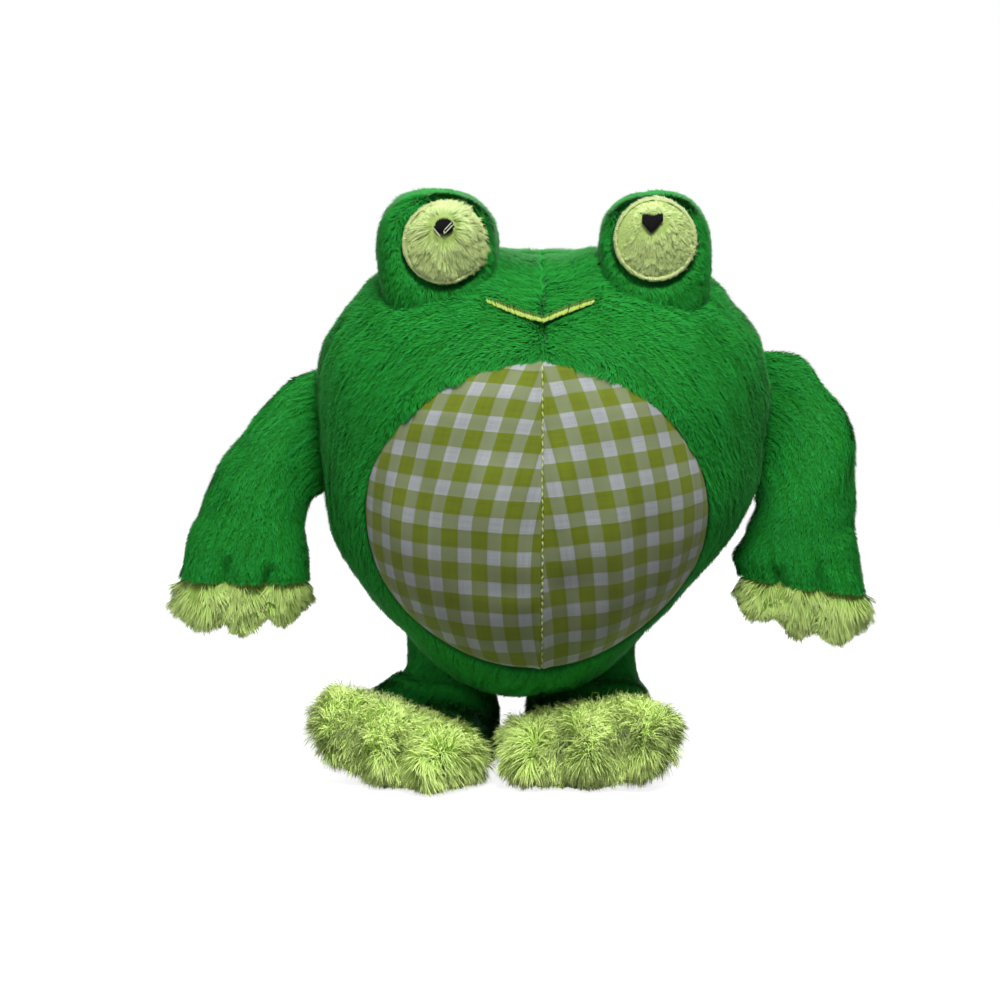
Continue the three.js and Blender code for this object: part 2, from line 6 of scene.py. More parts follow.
import bpy
import numpy as np
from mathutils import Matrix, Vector


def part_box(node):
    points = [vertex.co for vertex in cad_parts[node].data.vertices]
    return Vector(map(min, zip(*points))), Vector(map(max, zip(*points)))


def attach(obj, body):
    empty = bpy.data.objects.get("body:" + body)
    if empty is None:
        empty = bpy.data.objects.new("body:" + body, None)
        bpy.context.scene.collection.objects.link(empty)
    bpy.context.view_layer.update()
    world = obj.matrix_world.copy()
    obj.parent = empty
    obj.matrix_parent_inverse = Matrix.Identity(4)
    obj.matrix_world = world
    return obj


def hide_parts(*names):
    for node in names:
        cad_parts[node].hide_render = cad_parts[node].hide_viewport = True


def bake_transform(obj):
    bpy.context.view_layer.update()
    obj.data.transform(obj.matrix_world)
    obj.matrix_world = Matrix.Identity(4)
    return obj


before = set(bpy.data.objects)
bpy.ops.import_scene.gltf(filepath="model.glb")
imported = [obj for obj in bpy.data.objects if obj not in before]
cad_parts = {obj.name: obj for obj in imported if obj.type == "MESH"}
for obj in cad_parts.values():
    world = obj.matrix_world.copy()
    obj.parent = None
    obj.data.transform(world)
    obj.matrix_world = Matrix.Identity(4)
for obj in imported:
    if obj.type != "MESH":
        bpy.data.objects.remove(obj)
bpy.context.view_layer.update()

MM = 0.001
SEAM_GAP = 0.3
X, Y, Z = np.eye(3)

# Where the frog's own middle is in the row frame: its front seam and its side seam
front_seam_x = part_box("front_left_panel")[0][0] / MM - SEAM_GAP / 2
side_seam_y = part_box("front_left_panel")[1][1] / MM + SEAM_GAP / 2
MIDDLE = np.array([front_seam_x, side_seam_y, 0.0])


def add_object(name, data):
    made = bpy.data.objects.new(name, data)
    bpy.context.scene.collection.objects.link(made)
    return made


# Camera, at the photograph's angle
CAMERA_AIM = np.array([-0.0052, 0.0, 0.0685])
CAMERA_DISTANCE = 1.6
CAMERA_ELEVATION = math.radians(8)
CAMERA_LENS = 230.4

camera = add_object("camera", bpy.data.cameras.new("camera"))
camera_back = np.array([0, -math.cos(CAMERA_ELEVATION), math.sin(CAMERA_ELEVATION)])
camera.location = CAMERA_AIM + CAMERA_DISTANCE * camera_back
camera.rotation_euler = (math.pi / 2 - CAMERA_ELEVATION, 0, 0)
camera.data.lens = CAMERA_LENS
camera.data.clip_start = 0.05
bpy.context.scene.camera = camera

# Sizes, as in the part's source
BODY_WIDTH, BODY_DEPTH, BODY_HEIGHT, BODY_CLEARANCE = 112, 104, 113, 18.5
BODY_TOP = BODY_CLEARANCE + BODY_HEIGHT
BODY_CENTRE = np.array([0, 0, BODY_CLEARANCE + BODY_HEIGHT / 2])
HIP_SHIFT, HIP_SHIFT_LOW, HIP_SHIFT_HIGH = 4, 0.2, 0.52
BODY_PROFILE = [
    [0, 0, 0], [0.26, 0.32, 0.03], [0.42, 0.52, 0.08], [0.565, 0.68, 0.149],
    [0.7, 0.79, 0.216], [0.83, 0.89, 0.305], [0.925, 0.96, 0.394], [0.985, 1, 0.5],
    [1, 0.99, 0.61], [0.995, 0.94, 0.71], [0.965, 0.85, 0.795], [0.915, 0.775, 0.842],
    [0.85, 0.67, 0.888], [0.73, 0.53, 0.937], [0.48, 0.33, 0.982], [0, 0, 1],
]
BELLY_SHIFT, BELLY_HALF_WIDTH, BELLY_HALF_HEIGHT, BELLY_CENTRE = -1.2, 42, 39, 69.5
MOUTH_DROP, MOUTH_BELOW_TOP, MOUTH_BAND = 4.2, 11.2, 1.7
BULGE_WIDTH, BULGE_HEIGHT, BULGE_DEPTH, BULGE_RISE, BULGE_FORWARD = 30.5, 33, 32, 16.2, 12
BULGE_TOP = BODY_TOP + BULGE_RISE
BULGE_SQUARE, BULGE_BLUNT = 2.6, 4
EYE_RADIUS, EYE_BORDER, PUPIL_RADIUS, PUPIL_ABOVE_EYE = 9.2, 1.3, 2.3, 4.2
EYE_OUTER = EYE_RADIUS + EYE_BORDER
ARM_THICKNESS, ARM_ROOT_THICKNESS, ARM_ROOT_DEPTH = 17, 2.6, 4
SHOULDER_REACH = BODY_WIDTH / 2 + SEAM_GAP + ARM_ROOT_THICKNESS / 2
ARM_THICKNESS_SHARES = [0, 0.4, 0.7, 0.92, 1, 1, 0.97, 0.93, 0.9]
HAND_LENGTH, HAND_OVERHANG, HAND_LOBE, HAND_WIDEST = 14, 1, 3.2, 1.03
HAND_EDGE = [[0.97, 0], [1.02, 0.14], [1.03, 0.42], [0.9, 0.76], [0.5, 0.97], [0, 1]]
HAND_THICKNESS_SHARES = [0.93, 1.05, 1.1, 1, 0.72, 0]
PARTING_START, PARTING_END, PAW_SQUARE = 0.15, 0.72, 2.3
LEG_WIDTH, LEG_DEPTH, LEG_TUCK, LEG_BEHIND = 22, 18.5, 17.5, 7
LEG_HEIGHT = BODY_CLEARANCE + LEG_TUCK
HIP_HEIGHT = BODY_CLEARANCE + 1.5
FOOT_REACH, FOOT_WIDTH, FOOT_HEIGHT, HEEL_REACH, SOLE_START = 21, 42, 19, 13, 0.4
TOE_LENGTH, TOE_WIDTH, TOE_HEIGHT, TOE_LOBE, TOE_SEAM_HEIGHT = 23, 47, 22.5, 4.5, 9.5
INSTEP = [[0, 1], [0, 0.53], [0.02, 0.18], [0.19, 0.04], [0.61, 0], [1, 0]]
HEEL = [[-0.71, 1], [-0.73, 0.66], [-0.88, 0.36], [-1, 0.14], [-0.86, -0.01]]
TURN_START, TURN_END = 0.15, 0.75
FOOT_WIDTH_SHARES = [0, 0, 0.02, 0.1, 0.26, 0.5, 0.76, 1]
TOE_TOP = [[0, 0.9], [0.2, 0.99], [0.5, 0.97], [0.8, 0.79], [0.97, 0.56], [1, 0.47]]
TOE_SOLE = [[0, 0], [0.25, 0], [0.55, 0.012], [0.83, 0.15], [0.97, 0.36], [1, 0.47]]
TOE_WIDTH_SHARES = [0.93, 0.98, 1, 0.97, 0.87, 0.66, 0]

# The two sides differ. Trims are soft swellings: an amount in mm, the way it faces, and where it is on a limb
EYES = {
    "left": {
        "x": 27.6, "eye_x": 27.6, "eye_z": BULGE_TOP - 11, "pile": 3.2,
        "trim": [(-0.5, 0.95, 0.05), (-0.9, -0.95, 0.05), (-0.3, 0, 1)],
        "pupil": (-0.7, 0.6), "overlap": (1.2, 0.1),
        "glints": [([-1.7, 1.7], [-0.3, 2.35]), ([-0.5, 2.35], [1.2, 2.3]), ([1.0, 2.35], [2.1, 1.6])],
    },
    "right": {
        "x": -25.7, "eye_x": -24, "eye_z": BULGE_TOP - 11.8, "pile": 4.8,
        "trim": [(0.4, 1, 0.1), (0.2, -1, -0.1), (0.1, -0.3, 0.95)],
        "pupil": (0.1, -0.1), "overlap": (1.3, 0.6),
        "glints": [([-2.4, -0.5], [-0.8, -2.5]), ([0.0, -1.7], [2.3, 0.7]), ([-0.1, -0.9], [1.9, 1.2]),
                   ([0.1, -1.7], [-0.1, -0.9])],
    },
}
ARMS = {
    "left": {
        "side": 1, "top": BODY_TOP - 25.2, "reach": 24, "drop": 60.5, "hand_slant": 0.13,
        "trim": [(1.6, 0.1, 1, 0.11, 0.12), (0.4, 1, 0, 0.62, 0.2), (1.8, -1, 0, 0.8, 0.13)],
        "outer": [[0, 0], [0.3, 0.04], [0.54, 0.14], [0.75, 0.25], [0.85, 0.37], [0.87, 0.53], [0.89, 0.7],
                  [0.95, 0.87], [1, 1]],
        "inner": [[0, 0.6], [-0.19, 0.67], [-0.28, 0.74], [-0.35, 0.84], [-0.375, 0.92]],
    },
    "right": {
        "side": -1, "top": BODY_TOP - 30.3, "reach": 33.2, "drop": 51.5, "hand_slant": 0.05,
        "trim": [(-1.3, 0.6, 0.8, 0.12, 0.12), (-0.7, 0.8, 0.6, 0.36, 0.16), (0.8, 1, 0, 0.86, 0.13)],
        "outer": [[0, 0], [0.14, 0.035], [0.33, 0.13], [0.52, 0.28], [0.68, 0.43], [0.78, 0.58], [0.84, 0.7],
                  [0.92, 0.82], [1, 1]],
        "inner": [[0, 0.58], [-0.01, 0.65], [0.035, 0.75], [0.01, 0.88], [-0.01, 1.01]],
    },
}
LEGS = {
    "left": {"side": 1, "x": 13, "turn": -3, "lift": 1, "toe_lift": 1.0, "toe_sink": (4.4, 2.2, 0.8),
             "toe_ahead": 0.0, "inside": 3.4, "instep": (4.4, 1.2)},
    "right": {"side": -1, "x": -23, "turn": 27, "lift": 4.5, "toe_lift": 0.3, "toe_sink": (7.6, 3.6, 1.0),
              "toe_ahead": 3.4, "inside": 0.2, "instep": (4.6, 1.2)},
}

# Cloth lies this far under the solids, whose surface is the middle of the pile
PILE_ROOT, FUR_ROOT, SKIN_DEEPEST = 1.45, 3.0, -3.7
# Strands in each piece of pile, and how long they are
BODY_STRANDS, BULGE_STRANDS, ARM_STRANDS, LEG_STRANDS = 92000, 40000, 36000, 30000
EYE_STRANDS, HAND_STRANDS, TOE_STRANDS = 14000, 26000, 28000
SHORT_PILE, LEG_PILE, TOE_PILE_LENGTH, HAND_PILE_LENGTH = 2.0, 1.9, 6.6, 6.4
# How deep the fillings lie under the solids
BODY_FILLING, EYE_FILLING, ARM_FILLING, LEG_FILLING = 4.2, 5.2, 3.4, 3.6
# The radius of each thread, and the places across a satin stitch
SEAM_RADIUS, SMILE_RADIUS, GLEAM_RADIUS, RING_RADIUS, BLACK_RADIUS, GLINT_RADIUS = 0.19, 0.27, 0.3, 0.25, 0.3, 0.16
ACROSS = np.linspace(-0.5, 0.5, 7)[None]


# ---- Small tools

def seeded(name):
    return np.random.default_rng(zlib.crc32(name.encode()))


def smooth(x, low, high):
    t = np.clip((x - low) / (high - low), 0, 1)
    return t * t * (3 - 2 * t)


def bump_at(value, centre, width):
    return np.exp(-(((value - centre) / width) ** 2))


def unit(v):
    return v / np.maximum(np.linalg.norm(v, axis=-1, keepdims=True), 1e-9)


def xyz(x, y, z):
    return np.stack(np.broadcast_arrays(x, y, z), axis=-1)


def squared_off(wave, square):
    """A sine or cosine whose round gets this square: 2 is a circle."""
    return np.sign(wave) * np.abs(wave) ** (2 / square)


def arch(across):
    """1 in the middle of a thread that runs from -0.5 to 0.5, and 0 at its ends."""
    return 1 - 4 * across**2


def ripple(p, size, seed, waves=9):
    """A smooth field over points p that swings about 0 by roughly 1, with lumps of this size in mm."""
    rng = np.random.default_rng(seed)
    direction = unit(rng.normal(size=(waves, 3)))
    pitch = 2 * math.pi / (size * rng.uniform(1.3, 2.9, waves))
    start = rng.uniform(0, 2 * math.pi, waves)
    total = np.zeros(p.shape[:-1])
    for d, k, s in zip(direction, pitch, start):
        total += np.sin(p @ d * k + s)
    return total * (1.5 / math.sqrt(waves))


def curve_through(points, samples=48):
    """A function from shares of length to places on the smooth curve through these points."""
    p = np.array(points, float)
    p = np.vstack([2 * p[0] - p[1], p, 2 * p[-1] - p[-2]])
    s = np.linspace(0, 1, samples, endpoint=False)[:, None]
    rows = []
    for a, b, c, d in zip(p, p[1:], p[2:], p[3:]):
        ab, bc, cd = (max(np.linalg.norm(v - u) ** 0.5, 1e-4) for u, v in ((a, b), (b, c), (c, d)))
        leaving = ((b - a) / ab - (c - a) / (ab + bc) + (c - b) / bc) * bc
        arriving = ((c - b) / bc - (d - b) / (bc + cd) + (d - c) / cd) * bc
        rows.append(
            b * (2 * s**3 - 3 * s**2 + 1) + leaving * (s**3 - 2 * s**2 + s)
            + c * (3 * s**2 - 2 * s**3) + arriving * (s**3 - s**2)
        )
    dense = np.vstack([*rows, p[-2:-1]])
    length = np.concatenate([[0], np.cumsum(np.linalg.norm(np.diff(dense, axis=0), axis=1))])
    length /= length[-1]
    return lambda t: np.stack([np.interp(t, length, column) for column in dense.T], axis=-1)


def share_at(shares, t):
    """A share that follows a list of shares evenly spread from 0 to 1, without corners."""
    fine = curve_through([[i / (len(shares) - 1), s] for i, s in enumerate(shares)])(np.linspace(0, 1, 400))
    return np.interp(t, fine[:, 0], fine[:, 1])


# ---- Forms

def ends_in_point(row):
    return np.ptp(row, axis=0).max() < 1e-6


def corners(grid):
    """The values of a grid at the four corners of each of its faces."""
    return grid[1:, 1:], grid[:-1, :-1], grid[1:, :-1], grid[:-1, 1:]


class Form:
    """A grid of points over a stuffed form. Rows run along it and columns round it."""

    def __init__(self, points, closed=True, outward=None):
        self.points, self.closed = points, closed
        self.along = np.gradient(points, axis=0)
        if closed:
            ring = points[:, :-1]
            around = np.roll(ring, -1, 1) - np.roll(ring, 1, 1)
            around = np.concatenate([around, around[:, :1]], axis=1)
        else:
            around = np.gradient(points, axis=1)
        normal = unit(np.cross(around, self.along))
        for row, near in ((0, 1), (-1, -2)):
            if ends_in_point(points[row]):
                normal[row] = unit(normal[near].mean(axis=0))
        if outward is None:
            outward = points - points.mean(axis=1, keepdims=True)
        self.normal = -normal if np.sum(normal * outward) < 0 else normal

    def moved(self, amount):
        """The form with each point moved out by this many mm."""
        amount = np.broadcast_to(amount, self.points.shape[:2])
        return Form(self.points + self.normal * amount[..., None], self.closed, self.normal)

    def columns(self, start, stop):
        part = Form.__new__(Form)
        part.closed = False
        for field in ("points", "along", "normal"):
            setattr(part, field, getattr(self, field)[:, start:stop])
        return part

    def scatter(self, count, rng, keep=None):
        """Roots spread evenly over the form where keep says so: place, normal, and the direction along it."""
        a, b, c, d = corners(self.points)
        area = np.linalg.norm(np.cross(a - b, c - d), axis=-1)
        if keep:
            area = area * keep((a + b + c + d) / 4)
        total = np.cumsum(area.ravel())
        pick = np.searchsorted(total, (np.arange(count) + rng.random(count)) / count * total[-1])
        i, j = np.divmod(np.minimum(pick, area.size - 1), area.shape[1])
        u, v = rng.random((2, count, 1))

        def at(grid):
            low = grid[i, j] * (1 - v) + grid[i, j + 1] * v
            high = grid[i + 1, j] * (1 - v) + grid[i + 1, j + 1] * v
            return low * (1 - u) + high * u

        root, normal, along = at(self.points), unit(at(self.normal)), unit(at(self.along))
        if keep:
            kept = keep(root)
            root, normal, along = root[kept], normal[kept], along[kept]
        return root, normal, along


def from_sections(centre, across, through, half_width, half_depth, columns, square=2.0, shape=None):
    """A closed form from cross-sections: one row for each, with this many columns round it."""
    angle = np.linspace(0, 2 * math.pi, columns + 1)
    c, s = squared_off(np.cos(angle), square), squared_off(np.sin(angle), square)
    across, through = (np.broadcast_to(way, centre.shape)[:, None] for way in (across, through))
    points = (
        centre[:, None] + across * (half_width[:, None] * c)[..., None]
        + through * (half_depth[:, None] * s)[..., None]
    )
    if shape:
        points = shape(points, c)
    points[:, -1] = points[:, 0]
    return Form(points)


body_curve = curve_through(BODY_PROFILE)


def body_section(t):
    half_width, half_depth, height = body_curve(t).T
    shift = -HIP_SHIFT * (1 - smooth(height, HIP_SHIFT_LOW, HIP_SHIFT_HIGH))
    return shift, half_width * BODY_WIDTH / 2, half_depth * BODY_DEPTH / 2, BODY_CLEARANCE + height * BODY_HEIGHT


def seam_swing(shift, half_width):
    """How far the front and back seams turn aside, because the belly's lower half is shifted."""
    return np.arcsin(np.clip(-shift / np.maximum(half_width, 1e-3), -0.5, 0.5))


def body_quarter(side, end, rows, columns):
    """The body between its front or back seam (end -1 or 1) and its side seam. Columns run to the side seam."""
    shift, half_width, half_depth, height = body_section(np.linspace(0, 1, rows))
    seam = end * math.pi / 2 - end * seam_swing(shift, half_width)
    share = np.linspace(0, 1, columns)
    angle = seam[:, None] * (1 - share)
    if side < 0:
        angle = angle + end * math.pi * share
    points = xyz(shift[:, None] + half_width[:, None] * np.cos(angle), half_depth[:, None] * np.sin(angle),
                 height[:, None])
    return Form(points, closed=False, outward=points - BODY_CENTRE)


body_table = body_section(np.linspace(0, 1, 900))


def body_at(z):
    return tuple(np.interp(z, body_table[3], row) for row in body_table[:3])


def body_front(x, z, depth=0.0):
    """How far forward the body's front is at x and z, this deep below its surface."""
    middle = BODY_CENTRE[2]
    shift, half_width, half_depth = body_at(middle + (z - middle) * BODY_HEIGHT / (BODY_HEIGHT - 2 * depth))
    half_width = np.maximum(half_width - depth, 0.5)
    return -(half_depth - depth) * np.sqrt(np.clip(1 - ((x - shift) / half_width) ** 2, 0, 1))


def inside_body(p, depth):
    """True where a point is more than this deep in the body."""
    shift, half_width, half_depth = body_at(p[..., 2])
    half_width, half_depth = np.maximum(half_width - depth, 0.1), np.maximum(half_depth - depth, 0.1)
    across = ((p[..., 0] - shift) / half_width) ** 2 + (p[..., 1] / half_depth) ** 2
    return (across < 1) & (p[..., 2] < BODY_TOP - depth) & (p[..., 2] > BODY_CLEARANCE + depth)


def belly_radius(p):
    """1 on the belly's edge, seen from the front, and less inside it."""
    x = (p[..., 0] - BELLY_SHIFT) / BELLY_HALF_WIDTH
    z = (p[..., 2] - BELLY_CENTRE) / BELLY_HALF_HEIGHT
    return np.where(p[..., 1] < 0, np.hypot(x, z), 9.0)


def bulge_form(eye, rows=90, columns=96):
    turn = np.linspace(0, math.pi, rows)
    reach, swell = squared_off(np.cos(turn), BULGE_BLUNT), squared_off(np.sin(turn), BULGE_BLUNT)
    swell[[0, -1]] = 0
    centre = xyz(eye["x"], -BULGE_FORWARD - reach * BULGE_DEPTH / 2, BULGE_TOP - BULGE_HEIGHT / 2)
    return from_sections(centre, X, Z, swell * BULGE_WIDTH / 2, swell * BULGE_HEIGHT / 2, columns, BULGE_SQUARE)


def bulge_front(eye, x, z):
    """How far forward the eye bulge's face is at x and z."""
    across = np.abs((x - eye["x"]) / (BULGE_WIDTH / 2)) ** BULGE_SQUARE
    up = np.abs((z - BULGE_TOP + BULGE_HEIGHT / 2) / (BULGE_HEIGHT / 2)) ** BULGE_SQUARE
    radius = (across + up) ** (1 / BULGE_SQUARE)
    return -BULGE_FORWARD - BULGE_DEPTH / 2 * np.clip(1 - radius**4, 0, 1) ** (1 / BULGE_BLUNT)


def bulge_radius(eye, p):
    """1 on an eye bulge's surface, and more outside it."""
    centre = np.array([eye["x"], -BULGE_FORWARD, BULGE_TOP - BULGE_HEIGHT / 2])
    away = np.abs(p - centre) / np.array([BULGE_WIDTH, BULGE_DEPTH, BULGE_HEIGHT]) * 2
    across, ahead, up = away[..., 0], away[..., 1], away[..., 2]
    flat = (across**BULGE_SQUARE + up**BULGE_SQUARE) ** (1 / BULGE_SQUARE)
    return (flat**BULGE_BLUNT + ahead**BULGE_BLUNT) ** (1 / BULGE_BLUNT)


def arm_edge(arm, shares, t):
    points = []
    for i, (out, down) in enumerate(shares):
        root = ARM_ROOT_DEPTH if i == 0 else 0
        points.append([arm["side"] * (SHOULDER_REACH + arm["reach"] * out - root), 0, arm["top"] - arm["drop"] * down])
    return curve_through(points)(t)


def arm_sections(arm, t):
    outer, inner = arm_edge(arm, arm["outer"], t), arm_edge(arm, arm["inner"], t)
    half = (outer - inner) / 2
    thickness = ARM_ROOT_THICKNESS + (ARM_THICKNESS - ARM_ROOT_THICKNESS) * share_at(ARM_THICKNESS_SHARES, t)
    return (outer + inner) / 2, unit(half), np.linalg.norm(half, axis=-1), thickness / 2


def arm_form(arm, rows=110, columns=120):
    centre, across, half_width, half_depth = arm_sections(arm, np.linspace(0, 1, rows))
    return from_sections(centre, across, Y, half_width, half_depth, columns)


def lobes(place):
    return np.abs(np.cos(1.5 * math.pi * place))


HAND_START, TOE_START = -1.0, -2.0


def hand_form(arm, rows=70, columns=160):
    """A hand, which starts a little way up in the arm, and the way that it points."""
    centre, across, half_width, _ = (value[0] for value in arm_sections(arm, np.array([1.0])))
    down = arm["side"] * np.array([across[2], 0, -across[0]])
    t = np.linspace(0, 1, rows)
    out, way = curve_through([[a, b, 0] for a, b in HAND_EDGE])(t).T[:2]
    swell = share_at(HAND_THICKNESS_SHARES, t)
    out[-1] = swell[-1] = 0
    notch = HAND_LOBE * smooth(t, PARTING_START, PARTING_END)

    def shape(points, c):
        place = c[None] * out[:, None] / HAND_WIDEST
        return points - down * (notch[:, None] * (1 - lobes(place)))[..., None]

    middle = centre + down * (HAND_START + (HAND_LENGTH - HAND_START) * way[:, None])
    return from_sections(middle, across, Y, (half_width + HAND_OVERHANG) * out, ARM_THICKNESS / 2 * swell, columns,
                         PAW_SQUARE, shape), down


def turned(leg, points, weight):
    angle = leg["side"] * math.radians(leg["turn"]) * weight
    x = points[..., 0] * np.cos(angle) - points[..., 1] * np.sin(angle) + leg["x"]
    y = points[..., 0] * np.sin(angle) + points[..., 1] * np.cos(angle) + LEG_BEHIND
    return xyz(x, y, points[..., 2])


def foot_sections(leg, high, low, width, lift_share, weight, columns, notch=0.0):
    """A leg or a set of toes between an upper and a lower line, lifted on its outer side and turned out."""
    half = (high - low) / 2
    through, thick = unit(half), np.linalg.norm(half, axis=-1)
    if width[-1] == 0:
        through[-1], thick[-1] = Z, 0

    def shape(points, c):
        place = c[None] * lift_share
        points[..., 1] += notch * (1 - lobes(place))
        points[..., 2] += leg["lift"] * weight * np.maximum(place, 0)
        points[..., 2] = np.maximum(points[..., 2], 0)
        return turned(leg, points, weight)

    return from_sections((high + low) / 2, X * leg["side"], through, width, thick, columns, PAW_SQUARE, shape)


def leg_form(leg, rows=110, columns=120):
    t = np.linspace(0, 1, rows)
    front = curve_through(
        [[0, -(LEG_DEPTH / 2 + (FOOT_REACH - LEG_DEPTH / 2) * out), FOOT_HEIGHT + (LEG_HEIGHT - FOOT_HEIGHT) * up]
         for out, up in INSTEP]
    )(t)
    back = curve_through(
        [[0, -HEEL_REACH * out, LEG_HEIGHT * up] for out, up in HEEL]
        + [[0, -FOOT_REACH * SOLE_START, 0], [0, -FOOT_REACH, 0]]
    )(t)
    width = LEG_WIDTH + (FOOT_WIDTH - LEG_WIDTH) * share_at(FOOT_WIDTH_SHARES, t)
    weight = smooth(t, TURN_START, TURN_END)[:, None]
    return foot_sections(leg, front, back, width / 2, np.ones((rows, 1)), weight, columns)


def toe_form(leg, rows=80, columns=180):
    """A foot's three toes, which start a little way back in the foot."""
    t = np.linspace(0, 1, rows)
    top, sole = (
        curve_through([[0, -(FOOT_REACH + TOE_START + (TOE_LENGTH - TOE_START) * out), TOE_HEIGHT * up]
                       for out, up in shares])(t)
        for shares in (TOE_TOP, TOE_SOLE)
    )
    share = share_at(TOE_WIDTH_SHARES, t)
    share[-1] = 0
    notch = TOE_LOBE * smooth(t, PARTING_START, PARTING_END)[:, None]
    return foot_sections(leg, top, sole, TOE_WIDTH / 2 * share, share[:, None], 1.0, columns, notch)


# ---- Meshes

def build(name, points, quads, triangles=None, uvs=None, normals=None, material=None):
    """A mesh object from points in mm, its faces, and per-point UVs and normals."""
    mesh = bpy.data.meshes.new(name)
    triangles = np.zeros((0, 3), int) if triangles is None else triangles
    loops = np.concatenate([quads.ravel(), triangles.ravel()]).astype(np.int32)
    starts = np.concatenate([np.arange(len(quads)) * 4, len(quads) * 4 + np.arange(len(triangles)) * 3])
    mesh.vertices.add(len(points))
    mesh.vertices.foreach_set("co", ((points + MIDDLE) * MM).astype(np.float32).ravel())
    mesh.loops.add(len(loops))
    mesh.loops.foreach_set("vertex_index", loops)
    mesh.polygons.add(len(starts))
    mesh.polygons.foreach_set("loop_start", starts.astype(np.int32))
    for layer_name, uv in (uvs or {}).items():
        layer = mesh.uv_layers.new(name=layer_name, do_init=False)
        layer.uv.foreach_set("vector", uv[loops].astype(np.float32).ravel())
    mesh.update(calc_edges=True)
    mesh.shade_smooth()
    if normals is not None:
        attribute = mesh.attributes.new("custom_normal", "FLOAT_VECTOR", "POINT")
        attribute.data.foreach_set("vector", normals.astype(np.float32).ravel())
    mesh.materials.append(material)
    return add_object(name, mesh)


def grid_faces(points, closed, keep=None):
    """The faces of a grid, with each end row that is one point taken as one point."""
    rows, columns = points.shape[:2]
    index = np.arange(rows * columns).reshape(rows, columns)
    if closed:
        index[:, -1] = index[:, 0]
    for row in (0, -1):
        if ends_in_point(points[row]):
            index[row] = index[row, 0]
    quads = np.stack([index[:-1, :-1], index[:-1, 1:], index[1:, 1:], index[1:, :-1]], axis=-1).reshape(-1, 4)
    if keep is not None:
        quads = quads[keep.ravel()]
    low = quads[:, 0] == quads[:, 1]
    high = quads[:, 2] == quads[:, 3]
    triangles = np.concatenate([quads[low][:, [0, 2, 3]], quads[high & ~low][:, [0, 1, 2]]])
    return quads[~low & ~high], triangles


def compact(points, quads, triangles, uv=None):
    """Only the points that faces use, with what uv says of each."""
    used, inverse = np.unique(np.concatenate([quads.ravel(), triangles.ravel()]), return_inverse=True)
    return (
        points[used], inverse[: quads.size].reshape(-1, 4), inverse[quads.size:].reshape(-1, 3),
        None if uv is None else uv[used],
    )


def cloth(name, form, material, keep=None, uv=None, snap=None):
    """The woven ground of a plush piece, or a plain cloth piece."""
    quads, triangles = grid_faces(form.points, form.closed, keep)
    flat = form.points.reshape(-1, 3)
    away = np.cross(flat[quads[:, 2]] - flat[quads[:, 0]], flat[quads[:, 3]] - flat[quads[:, 1]])
    if np.sum(away * form.normal.reshape(-1, 3)[quads[:, 0]]) < 0:
        quads, triangles = quads[:, ::-1], triangles[:, ::-1]
    if snap is not None:
        flat = snap(flat, np.unique(quads))
    flat, quads, triangles, uv = compact(flat, quads, triangles, uv)
    return build(name, flat, quads, triangles, {"cloth": uv} if uv is not None else None, material=material)


def strands(name, paths, side, width, taper, shade, chance, material, facing):
    """Flat tapered strands along paths (strand, step, xyz), as one mesh. They shade mostly as the surface below."""
    count, steps = paths.shape[:2]
    rungs = steps - 1
    rims = 2 * rungs + 1
    front = np.cross(side[:, None], unit(np.gradient(paths, axis=1)))
    flip = np.where(np.sum(front.mean(axis=1) * shade, axis=-1) < 0, -1.0, 1.0)
    side = side * flip[:, None]
    front = unit(front * flip[:, None, None])
    half = side[:, None] * (width[:, None] * np.asarray(taper)[None, :rungs] / 2)[..., None]
    points = np.empty((count, rims, 3))
    points[:, 0:-1:2] = paths[:, :-1] - half
    points[:, 1:-1:2] = paths[:, :-1] + half
    points[:, -1] = paths[:, -1]
    points[..., 2] = np.maximum(points[..., 2], 0.03)
    level = np.repeat(np.arange(steps), 2)[:rims]
    normal = unit(shade[:, None] + facing * front[:, level])
    uv = np.stack(np.broadcast_arrays(chance[:, None], level[None] / rungs), axis=-1).reshape(-1, 2)
    base = (np.arange(count) * rims)[:, None]
    rung = np.arange(rungs - 1) * 2
    quads = (base[:, :, None] + np.stack([rung, rung + 1, rung + 3, rung + 2], axis=-1)[None]).reshape(-1, 4)
    tip = 2 * rungs
    triangles = base + np.array([[tip - 2, tip - 1, tip]])
    return build(
        name, points.reshape(-1, 3), quads, triangles, {"strand": uv, "OFBake": uv}, normal.reshape(-1, 3), material
    )


def streaks(p, way, cell, reach, seed):
    """A value about 0 at each place, drawn out into streaks along the way that the pile lies."""
    total = np.zeros(len(p))
    steps = np.linspace(-reach, reach, 9)
    for step in steps:
        spot = np.floor((p + way * step) / cell)
        total += np.modf(np.abs(np.sin(spot @ np.array([12.9898, 78.233, 37.719]) + seed)) * 43758.5453)[0]
    return (total / len(steps) - 0.5) * 9


